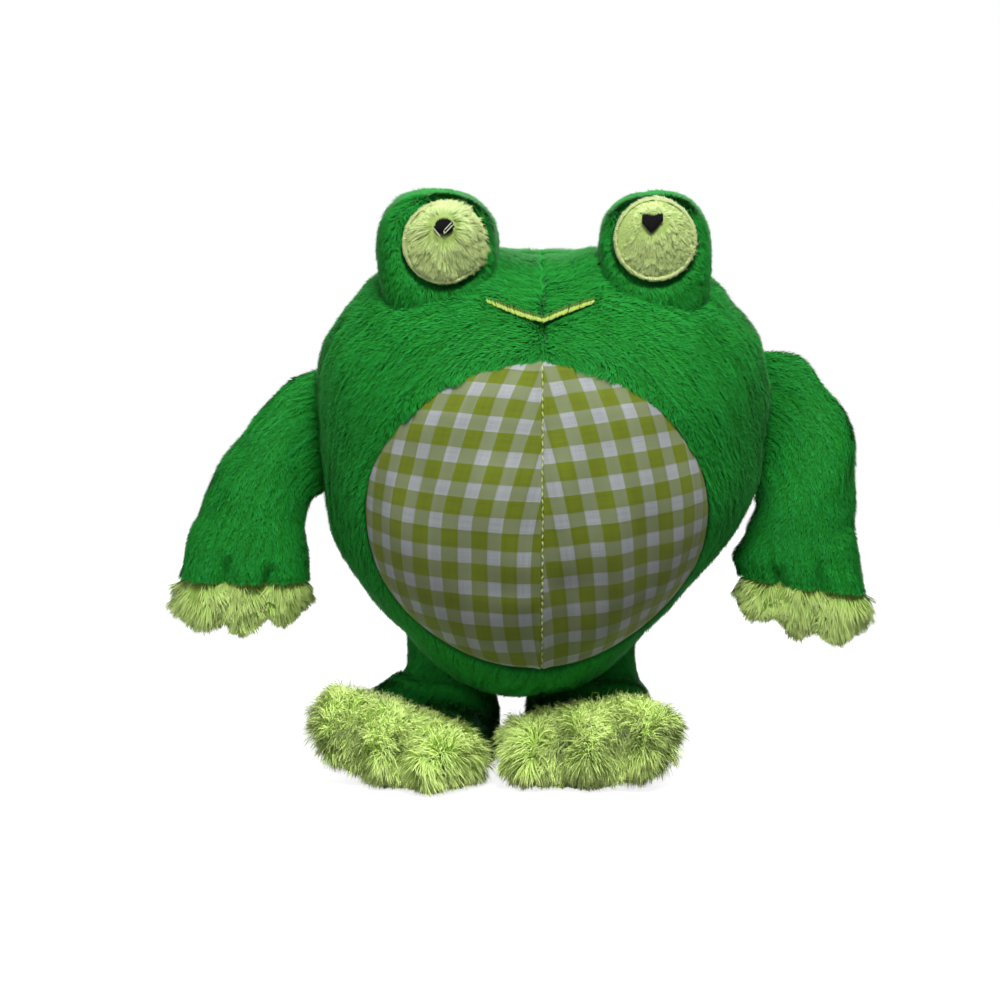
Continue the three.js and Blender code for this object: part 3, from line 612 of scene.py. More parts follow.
def short_pile(name, form, count, comb, keep=None, length=SHORT_PILE, seed=1, grow=None):
    """Combed green plush: comb gives the way it lies at a place with a normal."""
    rng = seeded(name)
    root, normal, along = form.scatter(count, rng, keep)
    n = len(root)
    way = comb(root, normal, along)
    way = unit(way - normal * np.sum(way * normal, axis=-1, keepdims=True))
    cross = np.cross(normal, way)
    streak = streaks(root, way, 0.62, 2.6, seed)
    veer = 0.14 * ripple(root, 14, seed) + 0.12 * ripple(root, 4, seed + 1) + rng.normal(0, 0.13, n)
    way = way * np.cos(veer)[:, None] + cross * np.sin(veer)[:, None]
    rise = np.radians(6) * streak + rng.normal(0, 0.09, n)
    size = length * (1 + 0.05 * ripple(root, 9, seed + 3) + 0.08 * streak + rng.normal(0, 0.07, n))
    if grow:
        size = size * grow(root)
    paths = [root - normal * 0.25]
    # It stands up a little at first, and then lies down
    for angle in (36, 68):
        tilt = np.clip(np.radians(angle) - rise, 0.05, 1.45)
        step = normal * np.cos(tilt)[:, None] + way * np.sin(tilt)[:, None]
        paths.append(paths[-1] + step * (size * 0.5)[:, None])
    roll = rng.normal(0, 0.3, n)
    side = unit(np.cross(way, normal) * np.cos(roll)[:, None] + way * np.sin(roll)[:, None])
    chance = np.clip(0.5 + 0.16 * streak + rng.normal(0, 0.12, n), 0, 1)
    width = 0.25 * rng.uniform(0.7, 1.3, n)
    return strands(name, np.stack(paths, axis=1), side, width, (0.8, 1), normal, chance, GREEN_PILE, 0.3)


def long_pile(name, form, count, comb, material, keep=None, length=TOE_PILE_LENGTH, width=0.2, steps=5, tuft=34,
              seed=1, fall=0.35, grow=None, floor=False, unruly=1.0):
    """Shaggy pile: strands that gather in tufts, stand up at first and fall over towards their tips."""
    rng = seeded(name)
    root, normal, along = form.scatter(count, rng, keep)
    n = len(root)
    way = comb(root, normal, along)
    way = way + 0.2 * unruly * np.stack([ripple(root, 6, seed + k) for k in range(3)], axis=-1)
    # Each strand leans in to the middle of its tuft
    tufts = root[rng.choice(n, max(n // tuft, 8), replace=False)]
    near = np.concatenate([
        np.argmin(((root[start:start + 2000, None] - tufts[None]) ** 2).sum(-1), axis=1) for start in range(0, n, 2000)
    ])
    tuft_way = rng.normal(0, 0.24 * unruly, (len(tufts), 3))
    tuft_size = rng.uniform(0.8, 1.12, len(tufts))
    tuft_chance = rng.random(len(tufts))
    size = length * tuft_size[near] * rng.uniform(0.72, 1.08, n)
    if grow:
        size = size * grow(root)
    way = unit(way + tuft_way[near] + rng.normal(0, 0.13 * unruly, (n, 3)))
    inward = (tufts[near] - root) * 0.5
    curl = rng.normal(0, 0.1, (n, 3))
    paths = [root - normal * 0.5]
    for k in range(steps):
        share = (k + 0.5) / steps
        step = unit(way + curl * (share * 2) + np.array([0, 0, -fall]) * share**1.5 * 2)
        paths.append(paths[-1] + step * (size / steps)[:, None])
    share = (np.arange(steps + 1) / steps)[None, :, None]
    paths = np.stack(paths, axis=1) + inward[:, None] * share**1.2
    if floor:
        low = 0.15 + 0.5 * rng.random(n)
        paths[..., 2] = np.maximum(paths[..., 2], low[:, None])
    side = unit(np.cross(way, normal) + rng.normal(0, 0.3, (n, 3)))
    taper = np.interp(np.arange(steps) / steps, [0, 0.2, 0.6, 1], [0.75, 1, 0.95, 0.5])
    shade = unit(normal + 0.45 * way)
    chance = np.clip(0.6 * tuft_chance[near] + 0.4 * rng.random(n), 0, 1)
    return strands(name, paths, side, width * rng.uniform(0.7, 1.3, n), taper, shade, chance, material, 0.45)


def tubes(name, paths, radius, material, sides=6):
    """Short round threads along paths (thread, step, xyz), with tapered ends, as one mesh."""
    count, steps = paths.shape[:2]
    tangent = unit(np.gradient(paths, axis=1))
    across = unit(np.cross(tangent, np.array([0.31, 0.2, 0.93])))
    up = np.cross(tangent, across)
    angle = np.linspace(0, 2 * math.pi, sides, endpoint=False)
    full = radius * np.sqrt(np.clip(1 - np.abs(2 * np.linspace(0, 1, steps) - 1) ** 4, 0.02, 1))
    ring = across[:, :, None] * np.cos(angle)[:, None] + up[:, :, None] * np.sin(angle)[:, None]
    points = paths[:, :, None] + ring * full[:, None, None]
    index = np.arange(count * steps * sides).reshape(count, steps, sides)
    after = np.roll(index, -1, axis=2)
    quads = np.stack([index[:, :-1], after[:, :-1], after[:, 1:], index[:, 1:]], axis=-1).reshape(-1, 4)
    caps = []
    for row, order in ((0, -1), (-1, 1)):
        ends = index[:, row][:, ::order]
        for k in range(1, sides - 1):
            caps.append(np.stack([ends[:, 0], ends[:, k], ends[:, k + 1]], axis=-1))
    return build(name, points.reshape(-1, 3), quads, np.concatenate(caps), material=material)


# ---- Stuffing

SIM_SCALE, SIM_FRAMES, SIM_PRESSURE, SIM_QUALITY = 0.01, 20, 4.0, 6
LIMB_ROWS, LIMB_COLUMNS = 26, 24


def stuffed(points, held, cap, growth):
    """How far the stuffing pushes a closed grid of points out between its held seams, by a short cloth simulation."""
    quads, triangles = grid_faces(points, True)
    order = np.arange(points.shape[0] * points.shape[1])
    flat, quads, triangles, used = compact(points.reshape(-1, 3), quads, triangles, order)
    a, b, c, d = (flat[quads[:, k]] for k in range(4))
    if np.sum(a * np.cross(b, c)) + np.sum(a * np.cross(c, d)) < 0:
        quads, triangles = quads[:, ::-1], triangles[:, ::-1]
    mesh = bpy.data.meshes.new("trial")
    mesh.from_pydata((flat * SIM_SCALE).tolist(), [], quads.tolist() + triangles.tolist())
    trial = add_object("trial", mesh)
    seam = trial.vertex_groups.new(name="seam")
    weight = held.reshape(-1)[used]
    for i in np.flatnonzero(weight > 0):
        seam.add([int(i)], float(weight[i]), "REPLACE")
    modifier = trial.modifiers.new("stuffing", "CLOTH")
    settings = modifier.settings
    settings.vertex_group_mass = "seam"
    settings.use_pressure = True
    settings.uniform_pressure_force = SIM_PRESSURE
    settings.effector_weights.gravity = 0
    settings.shrink_min = -growth
    settings.quality = SIM_QUALITY
    modifier.collision_settings.use_collision = False
    modifier.point_cache.frame_start, modifier.point_cache.frame_end = 1, SIM_FRAMES
    for moment in range(1, SIM_FRAMES + 1):
        bpy.context.scene.frame_set(moment)
    result = trial.evaluated_get(bpy.context.evaluated_depsgraph_get()).to_mesh()
    place, normal = np.empty((2, len(flat) * 3), np.float32)
    result.vertices.foreach_get("co", place)
    mesh.vertex_normals.foreach_get("vector", normal)
    push = np.sum((place.reshape(-1, 3) / SIM_SCALE - flat) * normal.reshape(-1, 3), axis=-1)
    bpy.context.scene.frame_set(1)
    bpy.data.objects.remove(trial)
    bpy.data.meshes.remove(mesh)
    spread = np.full(len(order), np.nan)
    spread[used] = np.clip(push, -cap, cap)
    spread = spread.reshape(points.shape[:2])
    spread[:, -1] = spread[:, 0]
    for row in (0, -1):
        if np.isnan(spread[row]).any():
            spread[row] = np.nanmean(spread[row])
    return spread


def even_out(field, passes, closed):
    for _ in range(passes):
        field = np.pad(field, ((1, 1), (0, 0)), mode="edge")
        field = (field[:-2] + 2 * field[1:-1] + field[2:]) / 4
        if closed:
            wide = np.concatenate([field[:, -2:-1], field, field[:, 1:2]], axis=1)
        else:
            wide = np.pad(field, ((0, 0), (1, 1)), mode="edge")
        field = (wide[:, :-2] + 2 * wide[:, 1:-1] + wide[:, 2:]) / 4
    return field


def over(grid, rows, columns, closed, passes=6):
    """A coarse grid's values over a finer grid of the same form."""
    coarse_rows, coarse_columns = (np.linspace(0, 1, k) for k in grid.shape)
    fine = np.stack([np.interp(np.linspace(0, 1, rows), coarse_rows, column) for column in grid.T], axis=1)
    fine = np.stack([np.interp(np.linspace(0, 1, columns), coarse_columns, row) for row in fine])
    return even_out(fine, passes, closed)


def limb_push(form, cap, growth):
    """The push of the stuffing over a closed limb whose two side seams and ends hold, about its mean."""
    rows, columns = form.points.shape[:2]
    pick_rows = np.linspace(0, rows - 1, LIMB_ROWS).round().astype(int)
    pick_columns = np.linspace(0, columns - 1, LIMB_COLUMNS + 1).round().astype(int)
    coarse = form.points[np.ix_(pick_rows, pick_columns)]
    # Both ends are closed with one point
    first, last = (np.broadcast_to(end.mean(axis=1, keepdims=True), end.shape) for end in (coarse[:1], coarse[-1:]))
    coarse = np.concatenate([first, coarse, last])
    held = np.zeros(coarse.shape[:2])
    held[:, [0, LIMB_COLUMNS // 2, LIMB_COLUMNS]] = 1
    held[[0, 1, -2, -1]] = 1
    push = over(stuffed(coarse, held, cap, growth)[1:-1], rows, columns, True)
    return push - push.mean()


# ---- Materials

def colour(red, green, blue):
    """A colour written as it looks on a screen, 0 to 255."""
    level = np.array([red, green, blue]) / 255
    linear = np.where(level <= 0.04045, level / 12.92, ((level + 0.055) / 1.055) ** 2.4)
    return (*linear, 1.0)


class Nodes:
    """A node tree with a few short ways to make its nodes. A value is a number, a colour or another node's socket."""

    def __init__(self, tree):
        self.tree = tree

    def put(self, value, socket):
        if isinstance(value, bpy.types.NodeSocket):
            self.tree.links.new(value, socket)
        else:
            socket.default_value = value

    def node(self, kind, **values):
        made = self.tree.nodes.new("ShaderNode" + kind)
        for key, value in values.items():
            if key.startswith("in_"):
                place = key[3:]
                self.put(value, made.inputs[int(place) if place.isdigit() else place])
            else:
                setattr(made, key, value)
        return made

    def math(self, operation, a, b=0.0, c=0.0):
        return self.node("Math", operation=operation, in_0=a, in_1=b, in_2=c).outputs[0]

    def seen(self):
        """1 for rays from the camera, straight or by way of metal or glass."""
        rays = self.node("LightPath").outputs
        seen = self.math("MAXIMUM", rays["Is Camera Ray"], rays["Is Glossy Ray"])
        return self.math("MAXIMUM", seen, rays["Is Transmission Ray"])


class Shader(Nodes):
    """A material."""

    def __init__(self, name, roughness=0.7, sheen=0.0, specular=0.5, tint=(1, 1, 1, 1)):
        self.material = bpy.data.materials.new(name)
        self.material.use_nodes = True
        super().__init__(self.material.node_tree)
        self.surface = self.tree.nodes["Principled BSDF"]
        for socket, value in (("Roughness", roughness), ("Specular IOR Level", specular), ("Sheen Weight", sheen),
                              ("Sheen Roughness", 0.4), ("Sheen Tint", tint)):
            self.surface.inputs[socket].default_value = value

    def noise(self, size, detail=2.0):
        """Noise with lumps of this size in mm, over the object's own place."""
        place = self.node("TexCoord").outputs["Object"]
        return self.node("TexNoise", in_Vector=place, in_Scale=1 / (size * MM), in_Detail=detail).outputs[0]

    def swing(self, value, share):
        """A factor about 1 that a value from 0 to 1 swings by this share."""
        return self.math("MULTIPLY_ADD", value, share, 1 - share / 2)

    def ramp(self, share, stops):
        made = self.node("ValToRGB", in_Fac=share)
        elements = made.color_ramp.elements
        while len(elements) < len(stops):
            elements.new(0.5)
        for element, (place, value) in zip(elements, stops):
            element.position, element.color = place, value
        return made.outputs[0]

    def mix(self, share, a, b):
        return self.node("Mix", data_type="RGBA", in_0=share, in_6=a, in_7=b).outputs[2]

    def base(self, value):
        self.put(value, self.surface.inputs["Base Color"])

    def bump(self, height, distance, strength=1.0):
        made = self.node("Bump", in_Height=height, in_Distance=distance * MM, in_Strength=strength)
        self.put(made.outputs[0], self.surface.inputs["Normal"])


def pile_material(name, root, middle, tip, middle_at=0.35, patch=(10.0, 0.35), streak=(2.0, 0.3), roughness=0.5,
                  sheen=0.2, tint=colour(235, 250, 200), spread=0.34, specular=0.3):
    """Pile that is dark at the root, which is painted shade, and pale at the tip, and varies from strand to strand and
    place to place.
    """
    s = Shader(name, roughness, sheen, specular, tint)
    strand = s.node("SeparateXYZ", in_0=s.node("UVMap", uv_map="strand").outputs[0])
    # Painted shade: each strand darkens towards its root, where the pile shades itself
    base = s.ramp(strand.outputs[1], [(0.0, root), (middle_at, middle), (1.0, tip)])
    wide, fine = (s.swing(s.noise(size), share) for size, share in (patch, streak))
    single = s.swing(strand.outputs[0], spread)
    value = s.math("MULTIPLY", s.math("MULTIPLY", wide, fine), single)
    hue = s.math("MULTIPLY_ADD", strand.outputs[0], 0.016, 0.492)
    s.base(s.node("HueSaturation", in_Color=base, in_Value=value, in_Hue=hue).outputs[0])
    return s.material


def ground_material(name, dark, pale, roughness=0.9, sheen=0.1, lumps=(1.2, 0.5), relief=0.15, detail=2.0):
    """The knitted ground that pile stands on, or loose fibre."""
    s = Shader(name, roughness, sheen)
    s.base(s.mix(s.noise(lumps[0], detail), dark, pale))
    s.bump(s.noise(lumps[1], detail), relief)
    return s.material


def thread_material(name, dark, pale, roughness=0.38, sheen=0.3, specular=0.55):
    """Shiny embroidery thread, with a twist along it whose light and shade are painted into its colour."""
    s = Shader(name, roughness, sheen, specular)
    place = s.node("TexCoord").outputs["Object"]
    wave = s.node("TexWave", in_Vector=place, in_Scale=2600.0, in_Distortion=2.5, bands_direction="DIAGONAL")
    twist = wave.outputs[1]
    # Painted shade and highlight: the twist's bands are drawn darker and paler along the thread; the rest of the mix
    # is random tone
    shade = s.math("MULTIPLY_ADD", twist, 0.5, s.math("MULTIPLY", s.noise(1.0), 0.5))
    s.base(s.mix(shade, dark, pale))
    s.bump(twist, 0.05)
    return s.material


WHITE_SHARES = (0.445, 0.475)
YARNS_IN_REPEAT = 22.0


def gingham_material():
    """Plain woven check: two yarn colours in the warp and in the weft, each half of a repeat."""
    s = Shader("gingham_cotton", 0.82, 0.12, 0.25)
    cloth_uv = s.node("SeparateXYZ", in_0=s.node("UVMap", uv_map="cloth").outputs[0])
    wobble = s.math("MULTIPLY", s.math("SUBTRACT", s.noise(3.0), 0.5), 0.02)

    def yarn(axis):
        """Which colour a yarn has, its number in the cloth, and how high it stands across its own width."""
        place = s.math("MULTIPLY", s.math("ADD", cloth_uv.outputs[axis], wobble), YARNS_IN_REPEAT)
        number = s.math("FLOOR", place)
        colour_share = s.math("FRACT", s.math("DIVIDE", s.math("ADD", number, 0.5), YARNS_IN_REPEAT))
        is_white = s.math("GREATER_THAN", colour_share, 1 - WHITE_SHARES[axis])
        crown = s.math("SINE", s.math("MULTIPLY", s.math("FRACT", place), math.pi))
        uneven = s.node("TexWhiteNoise", noise_dimensions="1D", in_W=number).outputs["Value"]
        return is_white, number, s.math("ADD", s.math("MULTIPLY", crown, 0.6), s.math("MULTIPLY", uneven, 0.5))

    warp_white, warp_number, warp_crown = yarn(0)
    weft_white, weft_number, weft_crown = yarn(1)
    parity = s.math("MODULO", s.math("ADD", s.math("ADD", warp_number, weft_number), 4000.0), 2.0)
    warp_up = s.math("GREATER_THAN", parity, 0.5)
    white_share = s.node("Mix", in_0=warp_up, in_2=weft_white, in_3=warp_white).outputs[0]
    crown = s.node("Mix", in_0=warp_up, in_2=weft_crown, in_3=warp_crown).outputs[0]
    # Where only one of the two is white, the olive yarn stands over it
    cover = s.math("MULTIPLY_ADD", s.math("MULTIPLY", warp_white, weft_white), 0.42, 0.58)
    base = s.mix(s.math("MULTIPLY", white_share, cover), colour(98, 111, 17), colour(150, 154, 156))
    soil = s.math("MULTIPLY_ADD", s.noise(9.0), 0.3, 0.84)
    # Painted shade: the colour darkens down each yarn's sides, from the same height that makes the bump; the uneven
    # part is the yarns' own tone
    value = s.math("MULTIPLY", soil, s.math("MULTIPLY_ADD", crown, 0.5, 0.62))
    s.base(s.node("HueSaturation", in_Color=base, in_Value=value).outputs[0])
    s.bump(crown, 0.06, 0.7)
    return s.material


GREEN_PILE = pile_material(
    "green_pile", colour(3, 74, 18), colour(11, 115, 31), colour(42, 156, 56), middle_at=0.45, patch=(14.0, 0.3),
    streak=(1.6, 0.3), roughness=0.7, sheen=0.1, tint=colour(210, 255, 214), spread=0.42, specular=0.1,
)
LIME_PILE = pile_material("lime_pile", colour(122, 158, 50), colour(186, 219, 100), colour(226, 245, 154))
# Painted shade: the hands' pile is a darker copy of the lime pile, for the shade that the hands are in
SHADED_HAND_PILE = pile_material("hand_pile", colour(92, 124, 34), colour(158, 192, 86), colour(204, 226, 138))
EYE_PILE = pile_material(
    "eye_pile", colour(84, 106, 34), colour(162, 190, 98), colour(214, 230, 158), middle_at=0.45, patch=(6.0, 0.4),
    streak=(1.2, 0.4), roughness=0.45, tint=colour(240, 250, 220), spread=0.4,
)
# Painted shade: the green and lime grounds are as dark as the roots of their pile, to darken the gaps between strands
GREEN_GROUND = ground_material("green_ground", colour(4, 66, 18), colour(12, 96, 32))
LIME_GROUND = ground_material("lime_ground", colour(96, 122, 44), colour(132, 160, 66))
EYE_GROUND = ground_material("eye_ground", colour(132, 156, 80), colour(160, 182, 102))
FIBRE = ground_material(
    "stuffing_fibre", colour(214, 210, 200), colour(250, 249, 245), roughness=0.95, sheen=0.3, lumps=(2.0, 0.9),
    relief=0.4, detail=6.0,
)
# The smile's thread comes as a pale copy, a painted highlight, and a dark copy, painted shade from the pile above it
SMILE_HIGHLIGHT_THREAD = thread_material("lime_thread", colour(128, 162, 42), colour(206, 228, 104))
SMILE_SHADE_THREAD = thread_material("olive_thread", colour(44, 76, 4), colour(92, 130, 26), 0.6, 0.1, 0.2)
RING_THREAD = thread_material("ring_thread", colour(152, 174, 88), colour(232, 244, 172))
BLACK_THREAD = thread_material("black_thread", colour(1, 1, 2), colour(9, 8, 11), 0.55, 0.0, 0.12)
PALE_THREAD = thread_material("pale_thread", colour(150, 160, 120), colour(222, 230, 200))
SEAM_THREAD = thread_material("seam_thread", colour(160, 178, 84), colour(222, 232, 150))
GINGHAM = gingham_material()


def finish_piece(piece, body, replaces=(), bend=None):
    """Hangs a piece on its body, or applies its transform if given a bend, and hides the solids it stands for. bend: a
    joint's start and end, not used but for whether it is given.
    """
    if bend:
        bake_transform(piece)
    else:
        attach(piece, body)
    if replaces:
        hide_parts(*replaces)


# ---- Body

BODY_ROWS, BODY_COLUMNS = 300, 170
PUSH_ROWS, PUSH_COLUMNS = 44, 20
QUARTERS = [(1, -1, 1), (1, 1, -1), (-1, 1, 1), (-1, -1, -1)]


def body_push():
    """The push of the stuffing on each quarter of the body, whose seams and belly edge hold."""
    grids = [body_quarter(side, end, PUSH_ROWS, PUSH_COLUMNS).points[:, ::way] for side, end, way in QUARTERS]
    ring = np.concatenate([grids[0]] + [grid[:, 1:] for grid in grids[1:]], axis=1)
    ring[[0, -1]] = ring[[0, -1]].mean(axis=1, keepdims=True)
    held = np.zeros(ring.shape[:2])
    held[:, ::PUSH_COLUMNS - 1] = 1
    held[np.abs(belly_radius(ring) - 1) < 0.05] = 1
    push = stuffed(ring, held, cap=2.2, growth=0.03)
    parts = {}
    for k, (side, end, way) in enumerate(QUARTERS):
        start = k * (PUSH_COLUMNS - 1)
        parts[side, end] = push[:, start:start + PUSH_COLUMNS][:, ::way]
    return parts


PUSH = body_push()


def push_at(x, z):
    """The push at x and z on the body's front."""
    t = np.linspace(0, 1, 400)
    shift, half_width, _, height = body_section(t)
    row = np.clip(np.interp(z, height, t) * (PUSH_ROWS - 1), 0, PUSH_ROWS - 1.001)
    middle, half = np.interp(z, height, shift), np.interp(z, height, half_width)
    angle = -np.arccos(np.clip((x - middle) / np.maximum(half, 1e-3), -1, 1))
    seam = -math.pi / 2 + seam_swing(middle, half)
    total = np.zeros(x.shape)
    for side, end_angle in ((1, 0.0), (-1, -math.pi)):
        grid = PUSH[side, -1]
        share = np.clip((angle - seam) / (end_angle - seam), 0, 1) * (PUSH_COLUMNS - 1)
        column = np.clip(share, 0, PUSH_COLUMNS - 1.001)
        i, j = row.astype(int), column.astype(int)
        u, v = row - i, column - j
        value = (
            grid[i, j] * (1 - u) * (1 - v) + grid[i + 1, j] * u * (1 - v)
            + grid[i, j + 1] * (1 - u) * v + grid[i + 1, j + 1] * u * v
        )
        total += np.where((angle > seam) == (side > 0), value, 0)
    return total


MOUTH_MIDDLE = 0.35
MOUTH_BASE = BODY_TOP - MOUTH_BELOW_TOP - MOUTH_DROP + MOUTH_BAND / 2 + 1.0
# The reach and rise of each arm of the smile, and how far it bows
MOUTH_ARMS = {-1: (13.5, 4.1, 0.33), 1: (12.1, 3.9, -0.2)}


def mouth_distance(x, z):
    """How far a place is above or below the smile, or far off past its ends."""
    reach, rise, _ = (np.where(x > MOUTH_MIDDLE, *pair) for pair in zip(MOUTH_ARMS[1], MOUTH_ARMS[-1]))
    share = np.abs(x - MOUTH_MIDDLE) / reach
    return np.hypot(z - MOUTH_BASE - rise * share, 2 * np.maximum(share - 1, 0) * reach)


def edge_share(root):
    """1 beside the belly's upper edge, and nothing away from it."""
    return (1 - smooth(belly_radius(root), 1.0, 1.09)) * smooth(root[:, 2], BELLY_CENTRE + 10, BELLY_CENTRE + 28)


def body_comb(root, normal, along):
    """Down and away from the centre seam, and on the head's top back from the face."""
    x, y, z = root.T
    front = smooth(-y, -12, 14)
    high = smooth(z, 40, 95)
    top = smooth(z, 112, 127)
    back = smooth(y, 2, 24)
    parting = smooth(np.abs(x), 0, 7 - 6.3 * smooth(z, 98, 114) * (1 - back) + 9 * back)
    beside = np.sign(x + 0.35 * ripple(root, 3, 27))
    aside = beside * (0.4 + 0.5 * high + 0.4 * top) * np.maximum(front, top * (1 - 0.45 * back)) * parting
    way = xyz(aside, top * (0.45 + 0.15 * back), -1 + 0.75 * top)
    # It hangs over the belly's upper edge
    near = edge_share(root)[:, None]
    inward = xyz(BELLY_SHIFT - x, 0, BELLY_CENTRE - z) / BELLY_HALF_WIDTH
    return way * (1 - 0.6 * near) + 1.1 * near * inward


def body_grow(root):
    """The pile is longer, and uneven, where it hangs over the belly's upper edge."""
    return 1 + edge_share(root) * (0.4 + 0.5 * np.clip(ripple(root, 3.5, 24), -0.5, 1.2))


def body_swell(p, normal):
    """How the stuffing fills the body out beyond an even form, in mm."""
    x, y, z = p[..., 0], p[..., 1], p[..., 2]
    left, right = np.clip(normal[..., 0], 0, 1), np.clip(-normal[..., 0], 0, 1)
    swell = 0.16 * ripple(p, 24, 5) + 0.04 * ripple(p, 8, 6)
    swell -= 1.3 * smooth(66 - z, 0, 22) * (left + right) * smooth(z, 18, 30)
    swell += left * (1.5 * bump_at(z, 97, 11) + 1.1 * bump_at(z, 112, 7))
    swell += right * 1.0 * bump_at(z, 102, 10)
    for eye in EYES.values():
        outer = np.clip(np.sign(eye["x"]) * normal[..., 0], 0, 1)
        inner = np.clip(normal[..., 2], 0, 1) * smooth(-np.sign(eye["x"]) * (x - eye["x"]), 8, 14)
        swell += (0.6 + 2.2 * outer + 1.1 * inner) * bump_at(bulge_radius(eye, p), 1, 0.28)
    swell -= 1.1 * bump_at(mouth_distance(x, z), 0, 1.5) * (y < 0)
    return swell


def at_belly_edge(flat, used):
    """Moves the cloth's inner points out to the belly's edge."""
    flat = flat.copy()
    radius = belly_radius(flat)
    inner = used[radius[used] < 1]
    for axis, centre in ((0, BELLY_SHIFT), (2, BELLY_CENTRE)):
        flat[inner, axis] = centre + (flat[inner, axis] - centre) / radius[inner]
    flat[inner, 1] = body_front(flat[inner, 0], flat[inner, 2], 2.0)
    return flat


def on_front(q):
    """Where the front has pile: round the belly, and not under the smile."""
    stitched = (mouth_distance(q[..., 0], q[..., 2]) < 0.3) & (q[..., 1] < 0)
    return (belly_radius(q) > 0.995) & ~stitched


def panel_pieces(name, side, end):
    """One of the four panels of the body. The two in front end at the belly's edge."""
    form = body_quarter(side, end, BODY_ROWS, BODY_COLUMNS)
    p = form.points
    crease = -0.2 * bump_at(p[..., 0], 0, 1.1) - 0.8 * bump_at(p[..., 1], 0, 1.7)
    push = over(PUSH[side, end], BODY_ROWS, BODY_COLUMNS, False, 14)
    push = (push - push.mean()) * smooth(BODY_TOP - p[..., 2], 3, 16)
    amount = -PILE_ROOT + crease + (0.55 * push + body_swell(p, form.normal))
    keep = snap = keep_pile = None
    if end < 0:
        amount = amount - 0.7 * bump_at((belly_radius(p) - 1) * 40, 0, 2.2)
        snap, keep_pile = at_belly_edge, on_front
    skin = form.moved(np.maximum(amount, SKIN_DEEPEST))
    if end < 0:
        keep = np.maximum.reduce(corners(belly_radius(skin.points))) > 1.0
    piece = cloth(f"{name}_cloth", skin, GREEN_GROUND, keep, snap=snap)
    finish_piece(piece, "torso", [f"{name}_panel"])
    pile = short_pile(f"{name}_pile", skin, BODY_STRANDS, body_comb, keep_pile, seed=20, grow=body_grow)
    finish_piece(pile, "torso")


def body_pieces():
    for name, side in (("left", 1), ("right", -1)):
        for part, end in (("front", -1), ("back", 1)):
            panel_pieces(f"{part}_{name}", side, end)


# ---- Belly

BELLY_ROWS, BELLY_COLUMNS = 200, 110
BELLY_UNDER_EDGE = 1.03
CHECK_WIDTH, CHECK_HEIGHT = 7.55, 7.9
# How the cloth of each half lies, in degrees, and where one of its white checks is in the photograph
BELLY_CLOTH = {
    1: {"lean": 13, "slope": 5.6, "twist": 0, "white_check": (4.8, 70.2)},
    -1: {"lean": 11, "slope": 3, "twist": 5, "white_check": (-3.7, 69.2)},
}


def belly_form(side):
    """A half of the belly, which puffs out between its seams. Columns run from the middle seam."""
    turn = np.linspace(0, math.pi, BELLY_ROWS)[:, None]
    edge_x = BELLY_SHIFT + side * BELLY_HALF_WIDTH * BELLY_UNDER_EDGE * np.sin(turn)
    edge_x = side * np.maximum(edge_x * side, SEAM_GAP)
    start = side * 0.02
    x = start + (edge_x - start) * np.linspace(0, 1, BELLY_COLUMNS)[None]
    z = np.broadcast_to(BELLY_CENTRE + BELLY_HALF_HEIGHT * BELLY_UNDER_EDGE * np.cos(turn), x.shape)
    flat = xyz(x, -1.0, z)
    radius = belly_radius(flat)
    ridge = 0.75 * bump_at(x, 0, 1.5) - 0.5 * bump_at(x, 0, 0.35)
    aside = smooth(np.abs(x), 0.1, 4)
    pushed = even_out(push_at(x, z), 12, False) * aside
    puff = 0.7 * np.clip(1 - radius**2, 0, 1) + np.clip(0.45 * pushed, -0.4, 0.9) * smooth(1 - radius, 0, 0.15)
    roll = -1.7 * smooth(radius, 0.965, 1.025)
    wrinkle = 0.28 * ripple(flat * np.array([1.6, 0, 0.8]), 12, 31 + side) * smooth(1 - radius, 0, 0.2) * aside
    points = xyz(x, body_front(x, z, 0.9 - puff - ridge - roll - wrinkle), z)
    return Form(points, closed=False, outward=np.broadcast_to(-Y, points.shape))


def belly_uv(side, points):
    """The cloth is laid flat about the middle of the half, and turned a little from the seam."""
    lay = BELLY_CLOTH[side]
    lean, slope, twist = (math.radians(lay[key]) * side for key in ("lean", "slope", "twist"))
    away = unit((points - BODY_CENTRE) / np.array([BODY_WIDTH / 2, BODY_DEPTH / 2, BODY_HEIGHT / 2]))
    middle = unit(np.array([side * 0.36, -1, -0.1]))
    right = unit(np.cross(Z, -middle))
    up = np.cross(right, middle)
    bow = np.arccos(np.clip(away @ middle, -1, 1))
    heading = np.arctan2(away @ up, away @ right)
    cloth_x = 55 * bow * np.cos(heading + lean + twist * np.sin(heading))
    cloth_z = 55 * np.where(np.sin(heading) < 0, np.sin(bow) * 0.94, bow) * np.sin(heading + slope)
    uv = np.stack([cloth_x / CHECK_WIDTH, cloth_z / CHECK_HEIGHT], axis=-1).reshape(-1, 2)
    known_x, known_z = lay["white_check"]
    nearest = np.argmin((points[..., 0] - known_x) ** 2 + (points[..., 2] - known_z) ** 2)
    # The middle of a white check, and a number of whole checks that keeps the numbers of yarns above 0
    return uv - uv[nearest] + np.array([1 - WHITE_SHARES[0] / 2, 1 - WHITE_SHARES[1] / 2]) + 40


SEAM_TOP, SEAM_LOW, STITCH_PITCH, STITCH_LENGTH = BELLY_CENTRE + 37.5, BELLY_CENTRE - 38, 1.75, 1.15


